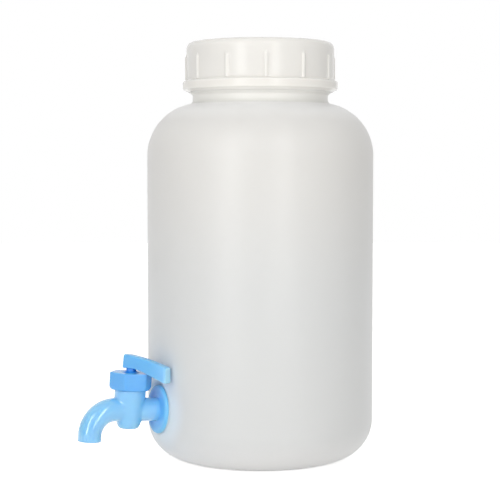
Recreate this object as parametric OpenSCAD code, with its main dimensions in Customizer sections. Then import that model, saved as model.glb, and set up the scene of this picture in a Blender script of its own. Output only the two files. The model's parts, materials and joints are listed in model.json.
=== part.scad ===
// Wide-mouth carboy with a quarter-turn spigot, in millimetres.
// The bottle stands on z = 0 with its axis on Z, and the spigot points along -Y.
// Every piece of the spigot is drawn in the spigot's own frame: the origin lies on the
// bottle's outer wall, -Y runs out along the pipe and +Z runs up the valve.

/* [Bottle] */
// Outside diameter of the body
body_dia = 168; // [150:1:200]
// Height at which the shoulder begins
body_h = 225; // [160:1:300]
// Radius of the bottom corner
base_round = 29; // [20:1:30]
// Radius of the shoulder
shoulder_round = 39; // [30:0.5:45]
// Thickness of the blown wall
wall = 1.8; // [1.2:0.1:3]
// How far the middle of the base is pushed up
push_up = 4; // [2:0.5:8]
// Width of the ring that the bottle stands on
foot_w = 5; // [3:0.5:10]

/* [Neck] */
// Outside diameter of the neck
neck_dia = 100.4; // [80:0.2:110]
// Height of the neck above the top of the shoulder
neck_h = 39.6; // [38:0.2:60]
// Thickness of the neck, heavier than the body
neck_wall = 2.6; // [2:0.1:4]
// Rounding of the rim
rim_round = 1; // [0.5:0.1:1.2]

/* [Cap] */
// Overall height of the cap
cap_h = 37; // [28:0.2:39]
// Thickness of the cap's top
cap_plate = 3.4; // [2:0.1:5]
// Thickness of the cap's side wall
cap_wall = 2; // [1.5:0.1:3]
// Room between neck and cap, where the threads lie
thread_room = 2.6; // [1.5:0.1:4]
// Rounding of the cap's top edge
cap_round = 5; // [1:0.5:5.3]
// Number of grip ribs
rib_count = 12; // [6:1:36]
// How far the ribs of the tightened cap are turned from the side, in degrees
rib_turn = 7; // [0:1:30]
// Radius of a half-round grip rib
rib_r = 1.7; // [1:0.1:2.4]
// How far below the cap's top the ribs end
rib_drop = 9; // [6:0.5:14]
// Length of a rib's tapered tip
rib_tip = 2.6; // [1:0.1:5]
// Height of the band round the cap's lower edge
band_h = 6.4; // [4:0.2:10]
// How far the band stands out from the side wall
band_step = 2.7; // [1.5:0.1:4]
// How far the cap's lower face rises out to the band's edge
band_lip = 1.8; // [1:0.1:2.6]
// Bevel at the band's edges
band_bevel = 0.6; // [0.3:0.1:1]
// Thickness of the sealing disc in the cap
liner_t = 1.8; // [1:0.1:4]
// Room between the sealing disc and the cap's wall
liner_gap = 0.5; // [0.3:0.1:1.5]

/* [Spigot mounting] */
// Height of the pipe's axis at the bottle's wall
tap_h = 41.2; // [41:0.1:70]
// How far the spigot and its seat lean back from upright, in degrees
tap_tilt = 3.6; // [0:0.1:5]
// Room round the flange in its flat seat
seat_gap = 0.5; // [0.3:0.1:2]
// Least depth of the flat seat in the round wall
seat_min = 0.1; // [0.05:0.05:1]
// Flare of the flank that leads down to the seat, in degrees from the pipe's axis
seat_flare = 45; // [20:5:60]
// Outside diameter of the shank that passes through the wall
shank_dia = 20.9; // [18:0.1:24]
// Room round the shank in the bottle's wall
shank_gap = 0.3; // [0.2:0.05:0.8]
// Length of the shank inside the wall's outer face
shank_len = 15.5; // [15:0.5:24]
// Diameter of the flange
flange_dia = 35.2; // [32:0.2:38]
// Thickness of the flange
flange_t = 2.6; // [2.2:0.1:5]
// Rounding of the flange's front edge
flange_round = 1.9; // [0.5:0.1:2]
// Thickness of each gasket
gasket_t = 0.8; // [0.5:0.1:2]
// How far the gaskets stay inside the flange's edge
gasket_inset = 0.5; // [0.2:0.1:3]
// Distance across the flats of the lock nut
lock_flats = 30; // [28:0.5:32]
// Thickness of the lock nut
lock_t = 8; // [5:0.5:8.5]

/* [Spigot body] */
// Outside diameter of the pipe at the flange
pipe_dia = 17; // [15:0.2:18]
// Fillet between the pipe and the flange
pipe_fillet = 0.6; // [0.2:0.1:1.5]
// Diameter of the waterway
bore_dia = 11; // [9:0.2:12]
// Distance from the bottle's wall to the valve's axis
valve_out = 22.1; // [20:0.2:30]
// Outside diameter of the barrel at its upper end
barrel_dia = 22.4; // [21.4:0.2:26]
// Outside diameter of the barrel at its lower end
barrel_low_dia = 17.8; // [17:0.2:20]
// Depth of the barrel's tapered part below the pipe's axis
barrel_low = 9.4; // [9:0.2:12]
// Height of the barrel's tapered part above the pipe's axis
barrel_high = 9; // [8.6:0.2:12]
// Height of the rounded cup under the barrel
cup_h = 4.2; // [3:0.2:6]
// How far the cup's edge draws in
cup_step = 1.4; // [0.4:0.1:2]
// Rounding of the cup's lower edge
cup_round = 1.2; // [0.5:0.1:2]
// Height of the barrel's rim above the pipe's axis
barrel_top = 21.4; // [20:0.2:26]
// How far the barrel's collar draws in under the bonnet nut
collar_step = 0.3; // [0.2:0.05:0.6]
// Bevel at the collar's ends
collar_bevel = 0.6; // [0.3:0.1:1]
// Outside diameter of the spout
spout_dia = 16.8; // [15:0.2:18]
// Distance from the valve's axis to the outlet's axis
spout_out = 29.2; // [28:0.2:36]
// Bend radius of the spout
spout_bend = 18.2; // [14:0.2:19]
// Depth of the outlet below the pipe's axis
outlet_drop = 22.4; // [20:0.2:30]

/* [Valve] */
// Diameter of the plug at the pipe's axis
plug_dia = 15.2; // [14.4:0.1:15.6]
// Half angle of the plug's taper, in degrees
plug_taper = 4.5; // [3:0.1:5]
// Running gap between plug and barrel
plug_gap = 0.08; // [0.05:0.01:0.2]
// Diameter of the port through the plug
port_dia = 9; // [7:0.1:10]
// Depth of the plug below the pipe's axis
plug_low = 11.2; // [10:0.1:11.4]
// Height of the plug's shoulder above the pipe's axis
plug_high = 20; // [19:0.1:20.4]
// Diameter of the stem where it passes the bonnet nut
stem_dia = 13; // [11:0.1:14]
// Height of the cone above the bonnet nut
stem_cone_h = 2.2; // [1:0.1:3]
// Diameter of the stem under the lever
stem_top_dia = 7.2; // [6.4:0.1:8]
// Width of the square tang that drives the lever
tang_w = 4.8; // [4:0.1:5]
// Height of the tang
tang_h = 6; // [4:0.5:7]
// Running gap round the stem and at the thrust ring
stem_gap = 0.2; // [0.1:0.05:0.5]

/* [Bonnet nut] */
// Distance across the flats of the bonnet nut
bonnet_flats = 27.4; // [26.6:0.2:32]
// Height of the bonnet nut's lower face above the pipe's axis
bonnet_low = 14.4; // [14:0.2:16]
// Height of the bonnet nut
bonnet_h = 11.4; // [10:0.2:14]
// Thickness of the bonnet nut's top
bonnet_plate = 3; // [2:0.1:3.6]
// Depth of the chamfer at the nut's lower corners
bonnet_chamfer = 2; // [0.5:0.1:3]
// How far the chamfers cut into the nut's flats
flat_cut = 0.4; // [0.1:0.1:0.8]
// How far the nut is turned from corner-on to the pipe, in degrees
bonnet_turn = -8; // [-30:1:30]
// Depth of thread left between nut and barrel
thread_gap = 0.15; // [0.1:0.05:0.3]

/* [Lever] */
// Angle of the lever from the spout's direction, in degrees
lever_turn = 127; // [110:1:130]
// Reach of the lever from the valve's axis
lever_reach = 30.8; // [27:0.2:32]
// Length of the lever behind the valve's axis
lever_back = 6; // [4.8:0.2:8]
// Gap between the stem's cone and the lever
lever_gap = 2; // [1:0.1:4]
// Width of the lever at its lower edge
lever_w = 9; // [8.6:0.2:12]
// Height of the lever over the stem
lever_h = 10.2; // [8.4:0.2:12]
// Distance from the valve's axis at which the lever's top begins to slope
lever_level = 4; // [0:0.5:6]
// Slope of the lever's top, in degrees
lever_slope = 15; // [6:1:18]
// Distance from the valve's axis at which the underside begins to drop
lever_knee = 7; // [5:0.5:10]
// Slope of the lever's underside beyond that, in degrees
under_slope = 19; // [10:1:20]
// Rounding of the lever's top edges and corners
lever_round = 1.6; // [0.8:0.1:2]
// How far the lever's sides and ends spread from top to bottom
lever_draft = 0.6; // [0:0.1:1]
// Wall of the hollow lever
lever_wall = 1.6; // [1.2:0.1:1.8]
// Thickness of the two cross ribs in the hollow
lever_rib = 1.2; // [0.8:0.1:2]
// Clearance between the tang and its socket
tang_gap = 0.05; // [0.02:0.01:0.1]

/* [Hidden] */
$fn = 96;
eps = 0.01;
clear_blue = [0.4, 0.7, 0.96];

// Bottle and neck
body_r = body_dia / 2;
neck_r = neck_dia / 2;
mouth_r = neck_r - neck_wall;
neck_z = body_h + shoulder_round;
rim_z = neck_z + neck_h;
foot_r = body_r - base_round;

// Cap
cap_top = rim_z + liner_t + cap_plate;
cap_bottom = cap_top - cap_h;
skirt_r = neck_r + thread_room;
cap_r = skirt_r + cap_wall;
band_r = cap_r + band_step;

// Spigot, as distances out from the wall or up from the pipe's axis
flange_r = flange_dia / 2;
gasket_r = flange_r - gasket_inset;
seat_r = flange_r + seat_gap;
seat_sag = body_r - sqrt(body_r * body_r - seat_r * seat_r);
seat_rise = seat_r * tan(tap_tilt);
seat_out = -seat_sag - seat_rise * seat_rise / (4 * seat_sag) - seat_min;
seat_in = seat_out - wall;
flange_back = seat_out + gasket_t;
flange_face = flange_back + flange_t;
lock_face = seat_in - gasket_t;
shank_r = shank_dia / 2;
shank_hole_r = shank_r + shank_gap;
elbow_out = valve_out + spout_out - spout_bend;

// Valve
stem_r = stem_dia / 2;
bonnet_top = bonnet_low + bonnet_h;
bonnet_ceiling = bonnet_top - bonnet_plate;
bonnet_corner_r = bonnet_flats / 2 / cos(30);
collar_r = barrel_dia / 2 - collar_step;
cone_top = bonnet_top + stem_cone_h;
lever_low = cone_top + lever_gap;
lever_top = lever_low + lever_h;
tang_top = lever_low + tang_h;

// Radius of the plug's taper at a height above the pipe's axis
function plug_r(z) = plug_dia / 2 + z * tan(plug_taper);

// ---- frames ----

// Puts a child into the spigot's frame
module at_wall() {
    translate([0, -body_r, tap_h])
        rotate([-tap_tilt, 0, 0])
            children();
}

// Stands a child, drawn round Z, along the pipe with +Z outward
module along_pipe() {
    rotate([90, 0, 0])
        children();
}

// Stands a child on the valve's axis
module at_valve() {
    translate([0, -valve_out, 0])
        children();
}

// Turns a child, drawn along +X, to the lever's direction
module along_lever() {
    at_valve()
        rotate([0, 0, lever_turn - 90])
            children();
}

// ---- bottle ----

// Half section of the vessel below the neck, drawn in by an inset
module vessel_section(inset) {
    low_r = foot_r;
    top_r = body_r - shoulder_round;
    translate([0, base_round])
        square([body_r - inset, body_h - base_round]);
    translate([0, inset])
        square([low_r, base_round]);
    translate([low_r, base_round])
        intersection() {
            circle(base_round - inset);
            translate([0, -base_round])
                square([base_round, base_round + eps]);
        }
    translate([0, body_h - eps])
        square([top_r, shoulder_round - inset + eps]);
    translate([top_r, body_h])
        intersection() {
            circle(shoulder_round - inset);
            translate([0, -eps])
                square([shoulder_round, shoulder_round + eps]);
        }
}

// Half section of the pushed-up base, raised by a wall
module push_up_section(raise) {
    edge = foot_r - foot_w;
    polygon([[-eps, -1], [edge + raise, -1], [edge + raise, raise],
             [edge - 2 * push_up, push_up + raise], [-eps, push_up + raise]]);
}

// Half section of the neck, with its rounded rim
module neck_section() {
    translate([mouth_r, neck_z - shoulder_round / 2])
        square([neck_wall, rim_z - rim_round - neck_z + shoulder_round / 2]);
    translate([mouth_r + rim_round, rim_z - rim_round - eps])
        square([neck_wall - 2 * rim_round, rim_round + eps]);
    for (x = [mouth_r + rim_round, neck_r - rim_round])
        translate([x, rim_z - rim_round])
            circle(rim_round);
}

// Half section of the whole shell, open at the mouth
module shell_section() {
    difference() {
        union() {
            difference() {
                vessel_section(0);
                push_up_section(0);
            }
            neck_section();
        }
        difference() {
            vessel_section(wall);
            push_up_section(wall);
        }
        translate([-eps, neck_z - shoulder_round])
            square([mouth_r + eps, rim_z]);
    }
}

// Round cutter on the pipe's axis, from a distance off the wall outward, flared by an angle
module seat_cutter(from, r, flare) {
    length = flange_r - from;
    at_wall()
        along_pipe()
            translate([0, 0, from])
                cylinder(h = length, r1 = r, r2 = r + length * tan(flare));
}

// Blow-moulded bottle with its open mouth and the flat, drilled seat for the spigot
module bottle() {
    color([0.89, 0.9, 0.88])
        difference() {
            union() {
                rotate_extrude($fn = 180)
                    shell_section();
                intersection() {
                    rotate_extrude($fn = 180)
                        vessel_section(wall / 2);
                    seat_cutter(seat_in, seat_r + 2 * wall, 0);
                }
            }
            seat_cutter(seat_out, seat_r, seat_flare);
            seat_cutter(seat_in - 1, shank_hole_r, 0);
        }
}

// ---- cap ----

// Half section of the cap without its ribs
module cap_section() {
    band_low = cap_bottom + band_lip;
    band_high = band_low + band_h;
    difference() {
        union() {
            translate([0, band_low])
                square([cap_r, cap_h - cap_round - band_lip]);
            translate([0, cap_top - cap_round - eps])
                square([cap_r - cap_round, cap_round + eps]);
            translate([cap_r - cap_round, cap_top - cap_round])
                circle(cap_round);
            polygon([[skirt_r, cap_bottom], [band_r - band_bevel, band_low],
                     [band_r, band_low + band_bevel], [band_r - band_bevel, band_high - band_bevel],
                     [band_r - 2 * band_bevel, band_high], [skirt_r, band_high]]);
        }
        translate([-eps, cap_bottom - 1])
            square([skirt_r + eps, cap_h - cap_plate + 1]);
    }
}

// Half-round grip rib with a tapered tip
module grip_rib() {
    foot = cap_bottom + band_h;
    straight = cap_h - band_h - rib_drop - rib_tip;
    translate([cap_r, 0, foot]) {
        cylinder(h = straight, r = rib_r, $fn = 32);
        translate([0, 0, straight])
            cylinder(h = rib_tip, r1 = rib_r, r2 = rib_r / 8, $fn = 32);
    }
}

// Screw cap with grip ribs and a band round its lower edge
module cap() {
    color([0.96, 0.95, 0.91])
        difference() {
            union() {
                rotate_extrude($fn = 180)
                    cap_section();
                for (i = [0:rib_count - 1])
                    rotate([0, 0, rib_turn + i * 360 / rib_count])
                        grip_rib();
            }
            translate([0, 0, cap_bottom - 1])
                cylinder(h = cap_h - cap_plate + 1, r = skirt_r, $fn = 180);
        }
}

// Sealing disc between the neck's rim and the cap's top
module cap_liner() {
    color([0.93, 0.93, 0.93])
        translate([0, 0, rim_z])
            cylinder(h = liner_t, r = skirt_r - liner_gap, $fn = 180);
}

// ---- spigot body ----

// Half section of shank, flange and pipe, from inside the bottle to the valve
module pipe_section() {
    pipe_r = pipe_dia / 2;
    translate([0, -shank_len])
        square([shank_r, shank_len + flange_face]);
    translate([0, flange_back])
        square([flange_r, flange_t - flange_round]);
    translate([0, flange_back])
        square([flange_r - flange_round, flange_t]);
    translate([flange_r - flange_round, flange_face - flange_round])
        intersection() {
            circle(flange_round);
            translate([-eps, -eps])
                square([flange_round + eps, flange_round + eps]);
        }
    polygon([[0, flange_face - eps], [pipe_r + pipe_fillet, flange_face - eps],
             [pipe_r, flange_face + pipe_fillet], [pipe_r, valve_out], [0, valve_out]]);
}

// Half section of the barrel, from its cup to its threaded collar
module barrel_section() {
    low_r = barrel_low_dia / 2;
    top_r = barrel_dia / 2;
    cup_r = low_r - cup_step;
    translate([0, -barrel_low - cup_h])
        square([cup_r - cup_round, cup_h]);
    translate([cup_r - cup_round, -barrel_low - cup_h + cup_round])
        circle(cup_round);
    polygon([[0, -barrel_low - cup_h + cup_round], [cup_r, -barrel_low - cup_h + cup_round],
             [low_r, -barrel_low], [top_r, barrel_high], [top_r, bonnet_low - collar_bevel],
             [collar_r, bonnet_low], [collar_r, barrel_top - collar_bevel],
             [collar_r - collar_bevel, barrel_top], [0, barrel_top]]);
}

// Quarter bend of the spout with a circular section, and its straight ends
module spout_sweep(r, start_out, end_drop) {
    translate([0, -start_out, 0])
        along_pipe()
            cylinder(h = elbow_out - start_out, r = r);
    translate([0, -elbow_out, -spout_bend])
        rotate([0, -90, 0])
            rotate([0, 0, -90])
                rotate_extrude(angle = 90)
                    translate([spout_bend, 0])
                        circle(r);
    translate([0, -elbow_out - spout_bend, -end_drop])
        cylinder(h = end_drop - spout_bend, r = r);
}

// Tapered seat for the plug, open at the top
module plug_seat() {
    floor_z = -plug_low - 2 * plug_gap;
    translate([0, 0, floor_z])
        cylinder(h = barrel_top - floor_z + 1, r1 = plug_r(floor_z) + plug_gap,
                 r2 = plug_r(barrel_top + 1) + plug_gap);
}

// Shank, flange, pipe, barrel and spout, moulded in one piece
module spigot_body() {
    color(clear_blue)
        at_wall()
            difference() {
                union() {
                    along_pipe()
                        rotate_extrude()
                            pipe_section();
                    at_valve()
                        rotate_extrude()
                            barrel_section();
                    spout_sweep(spout_dia / 2, valve_out, outlet_drop);
                }
                along_pipe()
                    translate([0, 0, -shank_len - 1])
                        cylinder(h = shank_len + valve_out + 1, r = bore_dia / 2);
                spout_sweep(bore_dia / 2, valve_out, outlet_drop + 1);
                at_valve()
                    plug_seat();
            }
}

// ---- seals and nuts at the bottle's wall ----

// Flat gasket round the shank, from a distance off the wall
module gasket(from) {
    color([0.86, 0.92, 0.96])
        at_wall()
            along_pipe()
                translate([0, 0, from])
                    difference() {
                        cylinder(h = gasket_t, r = gasket_r);
                        translate([0, 0, -1])
                            cylinder(h = gasket_t + 2, r = shank_r + shank_gap / 2);
                    }
}

// Gasket between the flange and the bottle's seat
module outer_gasket() {
    gasket(seat_out);
}

// Gasket between the seat's inner face and the lock nut
module inner_gasket() {
    gasket(lock_face);
}

// Hexagon nut that clamps the spigot from inside the bottle
module lock_nut() {
    corner_r = lock_flats / 2 / cos(30);
    color(clear_blue)
        at_wall()
            along_pipe()
                translate([0, 0, lock_face - lock_t])
                    difference() {
                        cylinder(h = lock_t, r = corner_r, $fn = 6);
                        translate([0, 0, -1])
                            cylinder(h = lock_t + 2, r = shank_r + shank_gap / 2);
                    }
}

// ---- valve ----

// Tapered plug with its port, stem and square tang
module plug() {
    color(clear_blue)
        at_wall()
            at_valve()
                difference() {
                    union() {
                        translate([0, 0, -plug_low])
                            cylinder(h = plug_low + plug_high, r1 = plug_r(-plug_low),
                                     r2 = plug_r(plug_high));
                        translate([0, 0, plug_high - eps])
                            cylinder(h = bonnet_top - plug_high + eps, r = stem_r);
                        translate([0, 0, bonnet_top - eps])
                            cylinder(h = stem_cone_h + eps, r1 = stem_r, r2 = stem_top_dia / 2);
                        translate([0, 0, cone_top - eps])
                            cylinder(h = lever_gap + eps, r = stem_top_dia / 2);
                        rotate([0, 0, lever_turn - 45])
                            translate([0, 0, lever_low - eps])
                                cylinder(h = tang_h + eps, r = tang_w / sqrt(2), $fn = 4);
                    }
                    rotate([0, 90, 0])
                        cylinder(h = 2 * barrel_dia, r = port_dia / 2, center = true);
                }
}

// Ring that takes the plug's thrust under the bonnet nut
module thrust_ring() {
    low = plug_high + stem_gap / 4;
    color([0.95, 0.95, 0.93])
        at_wall()
            at_valve()
                translate([0, 0, low])
                    difference() {
                        cylinder(h = bonnet_ceiling - low, r = plug_r(plug_high) - stem_gap);
                        translate([0, 0, -1])
                            cylinder(h = bonnet_ceiling, r = stem_r + stem_gap);
                    }
}

// Half section that rounds off the corners of the bonnet nut
module bonnet_corner_section() {
    flat_r = bonnet_flats / 2;
    polygon([[0, bonnet_low], [flat_r - flat_cut, bonnet_low],
             [bonnet_corner_r, bonnet_low + bonnet_chamfer],
             [bonnet_corner_r, bonnet_top - bonnet_chamfer / 2], [flat_r + flat_cut, bonnet_top],
             [0, bonnet_top]]);
}

// Hexagon nut that holds the plug in the barrel
module bonnet_nut() {
    color(clear_blue)
        at_wall()
            at_valve()
                difference() {
                    intersection() {
                        rotate([0, 0, bonnet_turn - 90])
                            translate([0, 0, bonnet_low])
                                cylinder(h = bonnet_h, r = bonnet_corner_r, $fn = 6);
                        rotate_extrude()
                            bonnet_corner_section();
                    }
                    translate([0, 0, bonnet_low - 1])
                        cylinder(h = bonnet_ceiling - bonnet_low + 1, r = collar_r + thread_gap);
                    translate([0, 0, bonnet_low])
                        cylinder(h = bonnet_h + 1, r = stem_r + stem_gap);
                }
}

// ---- lever ----

// Height of the lever's top at a distance from the valve's axis
function lever_top_at(x) = lever_top - max(0, x - lever_level) * tan(lever_slope);

// Height of the lever's underside at a distance from the valve's axis
function lever_low_at(x) = lever_low - max(0, x - lever_knee) * tan(under_slope);

// Pair of rounded posts across the lever at a distance from the valve's axis.
// spread moves their feet along the lever, and inset draws them in for the hollow.
module lever_posts(x, spread, inset) {
    r = lever_round;
    foot = lever_low_at(x) - (inset > 0 ? 2 : 0);
    foot_h = lever_round / 8;
    for (side = [-1, 1]) {
        translate([x, side * (lever_w / 2 - lever_draft - inset - r), lever_top_at(x) - inset - r])
            sphere(r, $fn = 24);
        translate([x + spread, side * (lever_w / 2 - inset - r), foot])
            cylinder(h = foot_h, r = r, $fn = 24);
    }
}

// Lever's form as two blended lengths: the hub and the arm
module lever_form(inset) {
    back = -lever_back + lever_draft + lever_round + inset;
    tip = lever_reach - lever_draft - lever_round - inset;
    hull() {
        lever_posts(back, -lever_draft, inset);
        lever_posts(lever_knee, 0, inset);
    }
    hull() {
        lever_posts(lever_knee, 0, inset);
        lever_posts(tip, lever_draft, inset);
    }
}

// Solid parts inside the lever: the boss for the tang and two cross ribs
module lever_inside() {
    boss_end = stem_top_dia / 2 + lever_wall / 2;
    drop = lever_low - lever_low_at(lever_reach);
    translate([-lever_back, -lever_w, lever_low - 1])
        cube([lever_back + boss_end, 2 * lever_w, lever_h + 1]);
    for (share = [1 / 3, 2 / 3])
        translate([boss_end + share * (lever_reach - boss_end) - lever_rib / 2, -lever_w,
                   lever_low - drop])
            cube([lever_rib, 2 * lever_w, drop + lever_h]);
}

// Lever, hollow underneath, with a square socket for the tang
module lever() {
    color(clear_blue)
        at_wall()
            along_lever()
                difference() {
                    lever_form(0);
                    difference() {
                        lever_form(lever_wall);
                        lever_inside();
                    }
                    rotate([0, 0, 45])
                        translate([0, 0, lever_low - 1])
                            cylinder(h = tang_h + 1 + tang_gap,
                                     r = (tang_w + 2 * tang_gap) / sqrt(2), $fn = 4);
                }
}

bottle();
cap();
cap_liner();
spigot_body();
outer_gasket();
inner_gasket();
lock_nut();
plug();
thrust_ring();
bonnet_nut();
lever();
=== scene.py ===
"""Finished surfaces of a wide-mouth carboy with a quarter-turn spigot, in metres.

The bottle and the cap are turned profiles, the moulded pieces of the spigot are blended solids
given by distance fields, and Geometry Nodes make the grip ribs and the screw threads."""

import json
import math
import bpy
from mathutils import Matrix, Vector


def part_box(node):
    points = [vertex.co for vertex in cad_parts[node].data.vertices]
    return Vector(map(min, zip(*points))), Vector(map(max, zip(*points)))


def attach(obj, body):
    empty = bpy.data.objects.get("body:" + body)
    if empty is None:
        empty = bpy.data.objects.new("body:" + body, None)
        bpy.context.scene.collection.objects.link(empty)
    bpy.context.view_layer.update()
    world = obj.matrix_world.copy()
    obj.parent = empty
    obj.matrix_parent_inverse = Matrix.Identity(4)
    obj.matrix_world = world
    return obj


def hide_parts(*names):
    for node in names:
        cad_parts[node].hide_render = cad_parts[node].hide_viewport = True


bl_info = {
    "name": "Carboy with Spigot",
    "version": (1, 0, 0),
    "blender": (4, 5, 0),
    "location": "View3D > Sidebar > Carboy",
    "description": "Builds the finished surfaces of a wide-mouth carboy with a quarter-turn spigot",
    "category": "Object",
}

from functools import partial

import bmesh
import bpy
import numpy as np
from bpy.props import FloatProperty, FloatVectorProperty, IntProperty, PointerProperty
from mathutils import Matrix, Vector

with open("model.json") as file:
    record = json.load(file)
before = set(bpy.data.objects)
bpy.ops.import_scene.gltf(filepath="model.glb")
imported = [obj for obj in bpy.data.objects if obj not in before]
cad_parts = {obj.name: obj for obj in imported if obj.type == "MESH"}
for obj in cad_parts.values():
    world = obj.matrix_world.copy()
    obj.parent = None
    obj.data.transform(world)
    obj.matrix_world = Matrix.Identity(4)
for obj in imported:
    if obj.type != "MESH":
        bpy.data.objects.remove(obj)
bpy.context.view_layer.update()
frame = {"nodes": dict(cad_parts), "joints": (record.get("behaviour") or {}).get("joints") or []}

MM = 0.001
JOINTS = {joint["name"]: joint for joint in frame["joints"]}
VALVE_POINT = Vector(JOINTS["valve_turn"]["pos_m"])
VALVE_UP = Vector(JOINTS["valve_turn"]["axis"]).normalized()
TAP_TILT = math.atan2(VALVE_UP.y, VALVE_UP.z)
BOTTLE_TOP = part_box("bottle")[1]
CAP_LOW, CAP_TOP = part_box("cap")


# ---- settings ----


def length(name, default, description):
    """A size in metres that a user may change."""
    return FloatProperty(
        name=name, default=default, min=0.0, unit="LENGTH", precision=5, description=description
    )


def degrees(name, default, description):
    """An angle that a user may change, with its default in degrees."""
    return FloatProperty(
        name=name, default=math.radians(default), subtype="ANGLE", description=description
    )


def portion(name, default, description):
    """A share from 0 to 1 that a user may change."""
    return FloatProperty(name=name, default=default, min=0.0, max=1.0, description=description)


def number(name, default, description):
    """A plain number that a user may change."""
    return FloatProperty(name=name, default=default, description=description)


def colour(name, default, description):
    """A linear colour that a user may change."""
    return FloatVectorProperty(
        name=name, default=default, size=3, min=0.0, max=1.0, subtype="COLOR", description=description
    )


class BottleSettings(bpy.types.PropertyGroup):
    """Sizes and colours of the bottle."""

    radius: length("Radius", BOTTLE_TOP.x, "Outside radius of the body")
    shoulder_start: length("Shoulder start", 225 * MM, "Height at which the shoulder begins")
    shoulder_radius: length("Shoulder radius", 39 * MM, "Radius of the shoulder")
    corner_radius: length("Corner radius", 29 * MM, "Radius of the bottom corner")
    wall: length("Wall", 1.8 * MM, "Thickness of the blown wall")
    neck_radius: length("Neck radius", 50.2 * MM, "Outside radius of the neck")
    neck_wall: length("Neck wall", 2.6 * MM, "Thickness of the neck")
    rim_rounding: length("Rim rounding", 1 * MM, "Rounding of the rim")
    crease_radius: length("Crease radius", 3 * MM, "Fillet between shoulder and neck")
    bead_radius: length("Bead radius", 52.2 * MM, "Radius of the bead that fills the cap's lower end")
    bead_low: length("Bead foot", 2.4 * MM, "How far the bead's lower slope starts under the cap")
    bead_high: length("Bead top", 3 * MM, "How far the bead reaches up into the cap")
    push_up: length("Push-up", 4 * MM, "How far the middle of the base is pushed up")
    foot_width: length("Foot width", 5 * MM, "Width of the ring that the bottle stands on")
    seat_radius: length("Seat radius", 18.1 * MM, "Radius of the flat seat of the spigot")
    seat_depth: length("Seat depth", 2.238 * MM, "Depth of the seat inside the wall's outer line")
    seat_flare: degrees("Seat flare", 45, "Flare of the seat's flank")
    seat_softness: length("Seat softness", 0.9 * MM, "Blend at the edges of the seat's flank")
    hole_radius: length("Hole radius", 10.75 * MM, "Radius of the hole for the spigot's shank")
    soft_depth: length("Soft depth", 3 * MM, "How far light spreads in the wall")
    # Painted light: the lighter colour of the bottom corner stands in for light from the floor.
    colour_base_painted_light: colour("Base colour", (0.9, 0.89, 0.87), "Colour of the thick bottom corner")
    colour_low: colour("Lower colour", (0.75, 0.755, 0.745), "Colour of the lower body")
    colour_high: colour("Upper colour", (0.79, 0.775, 0.745), "Colour of the upper body")
    # Painted light: the crease colour lightens the shoulder's crease below the neck, where shade falls.
    colour_crease_painted_light: colour("Crease colour", (0.96, 0.95, 0.92), "Colour at the foot of the neck")
    colour_neck: colour("Neck colour", (0.78, 0.775, 0.74), "Colour of the neck's foot")
    # Painted light: the neck is lightened up to the cap. This stands in for light through the milky plastic
    # and lifts the shade under the cap.
    colour_thread_painted_light: colour("Thread colour", (0.86, 0.85, 0.815), "Colour of the thick neck with its threads")
    # Painted light: a pale blue glow on the wall round the spigot's seat. It stands in for the blue nut
    # seen through the milky wall and lifts the lever's shade beside it.
    colour_painted_glow: colour("Glow colour", (0.84, 0.93, 1.0), "Colour where the blue nut shows through")


class CapSettings(bpy.types.PropertyGroup):
    """Sizes and colours of the cap."""

    radius: length("Radius", 54.8 * MM, "Outside radius of the side wall")
    wall: length("Wall", 2 * MM, "Thickness of the side wall")
    plate: length("Plate", 3.4 * MM, "Thickness of the top")
    gate_radius: length("Gate radius", 3.5 * MM, "Radius of the round moulding mark on the top")
    gate_depth: length("Gate depth", 0.5 * MM, "Depth of the round moulding mark on the top")
    top_rounding: length("Top rounding", 5 * MM, "Rounding of the top edge")
    band_height: length("Band height", 6.4 * MM, "Height of the band round the lower edge")
    band_lip: length("Band lip", 1.8 * MM, "How far the lower face rises to the band's edge")
    band_rounding: length("Band rounding", 1.1 * MM, "Rounding of the band's edges")
    band_fillet: length("Band fillet", 1.6 * MM, "Fillet between the band and the side wall")
    rib_count: IntProperty(name="Rib count", default=12, min=0, description="Number of grip ribs")
    rib_turn: degrees("Rib turn", 7, "Turn of the first rib")
    rib_radius: length("Rib radius", 1.5 * MM, "Radius of a half-round grip rib")
    rib_fillet: length("Rib fillet", 2.8 * MM, "Fillet at the foot of a rib")
    rib_top: length("Rib top", 9 * MM, "How far below the cap's top the ribs end")
    rib_tip: length("Rib tip", 2.6 * MM, "Length of a rib's tapered tip")
    soft_depth: length("Soft depth", 2.4 * MM, "How far light spreads in the cap")
    colour: colour("Colour", (0.84, 0.82, 0.78), "Colour of the cap")
    # Painted light: the lower colour lightens the cap's lower face, lifting the shade in the gap over the
    # neck.
    colour_low: colour("Lower colour", (0.9, 0.88, 0.85), "Colour of the lower face")
    liner_colour: colour("Liner colour", (0.8, 0.8, 0.78), "Colour of the sealing disc")


class ThreadSettings(bpy.types.PropertyGroup):
    """Sizes of the cap's screw thread."""

    lead: length("Lead", 12 * MM, "Rise of the thread in one turn")
    starts: IntProperty(name="Starts", default=2, min=1, description="Number of threads side by side")
    turns: FloatProperty(name="Turns", default=1.35, min=0.1, description="Turns of each thread")
    height: length("Height", 1.7 * MM, "How far a thread stands out")
    base: length("Base", 2.6 * MM, "Width of a thread at its foot")
    crest: length("Crest", 1 * MM, "Width of a thread at its crest")
    start_depth: length("Start depth", 5 * MM, "How far below the rim the neck's thread ends")


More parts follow.
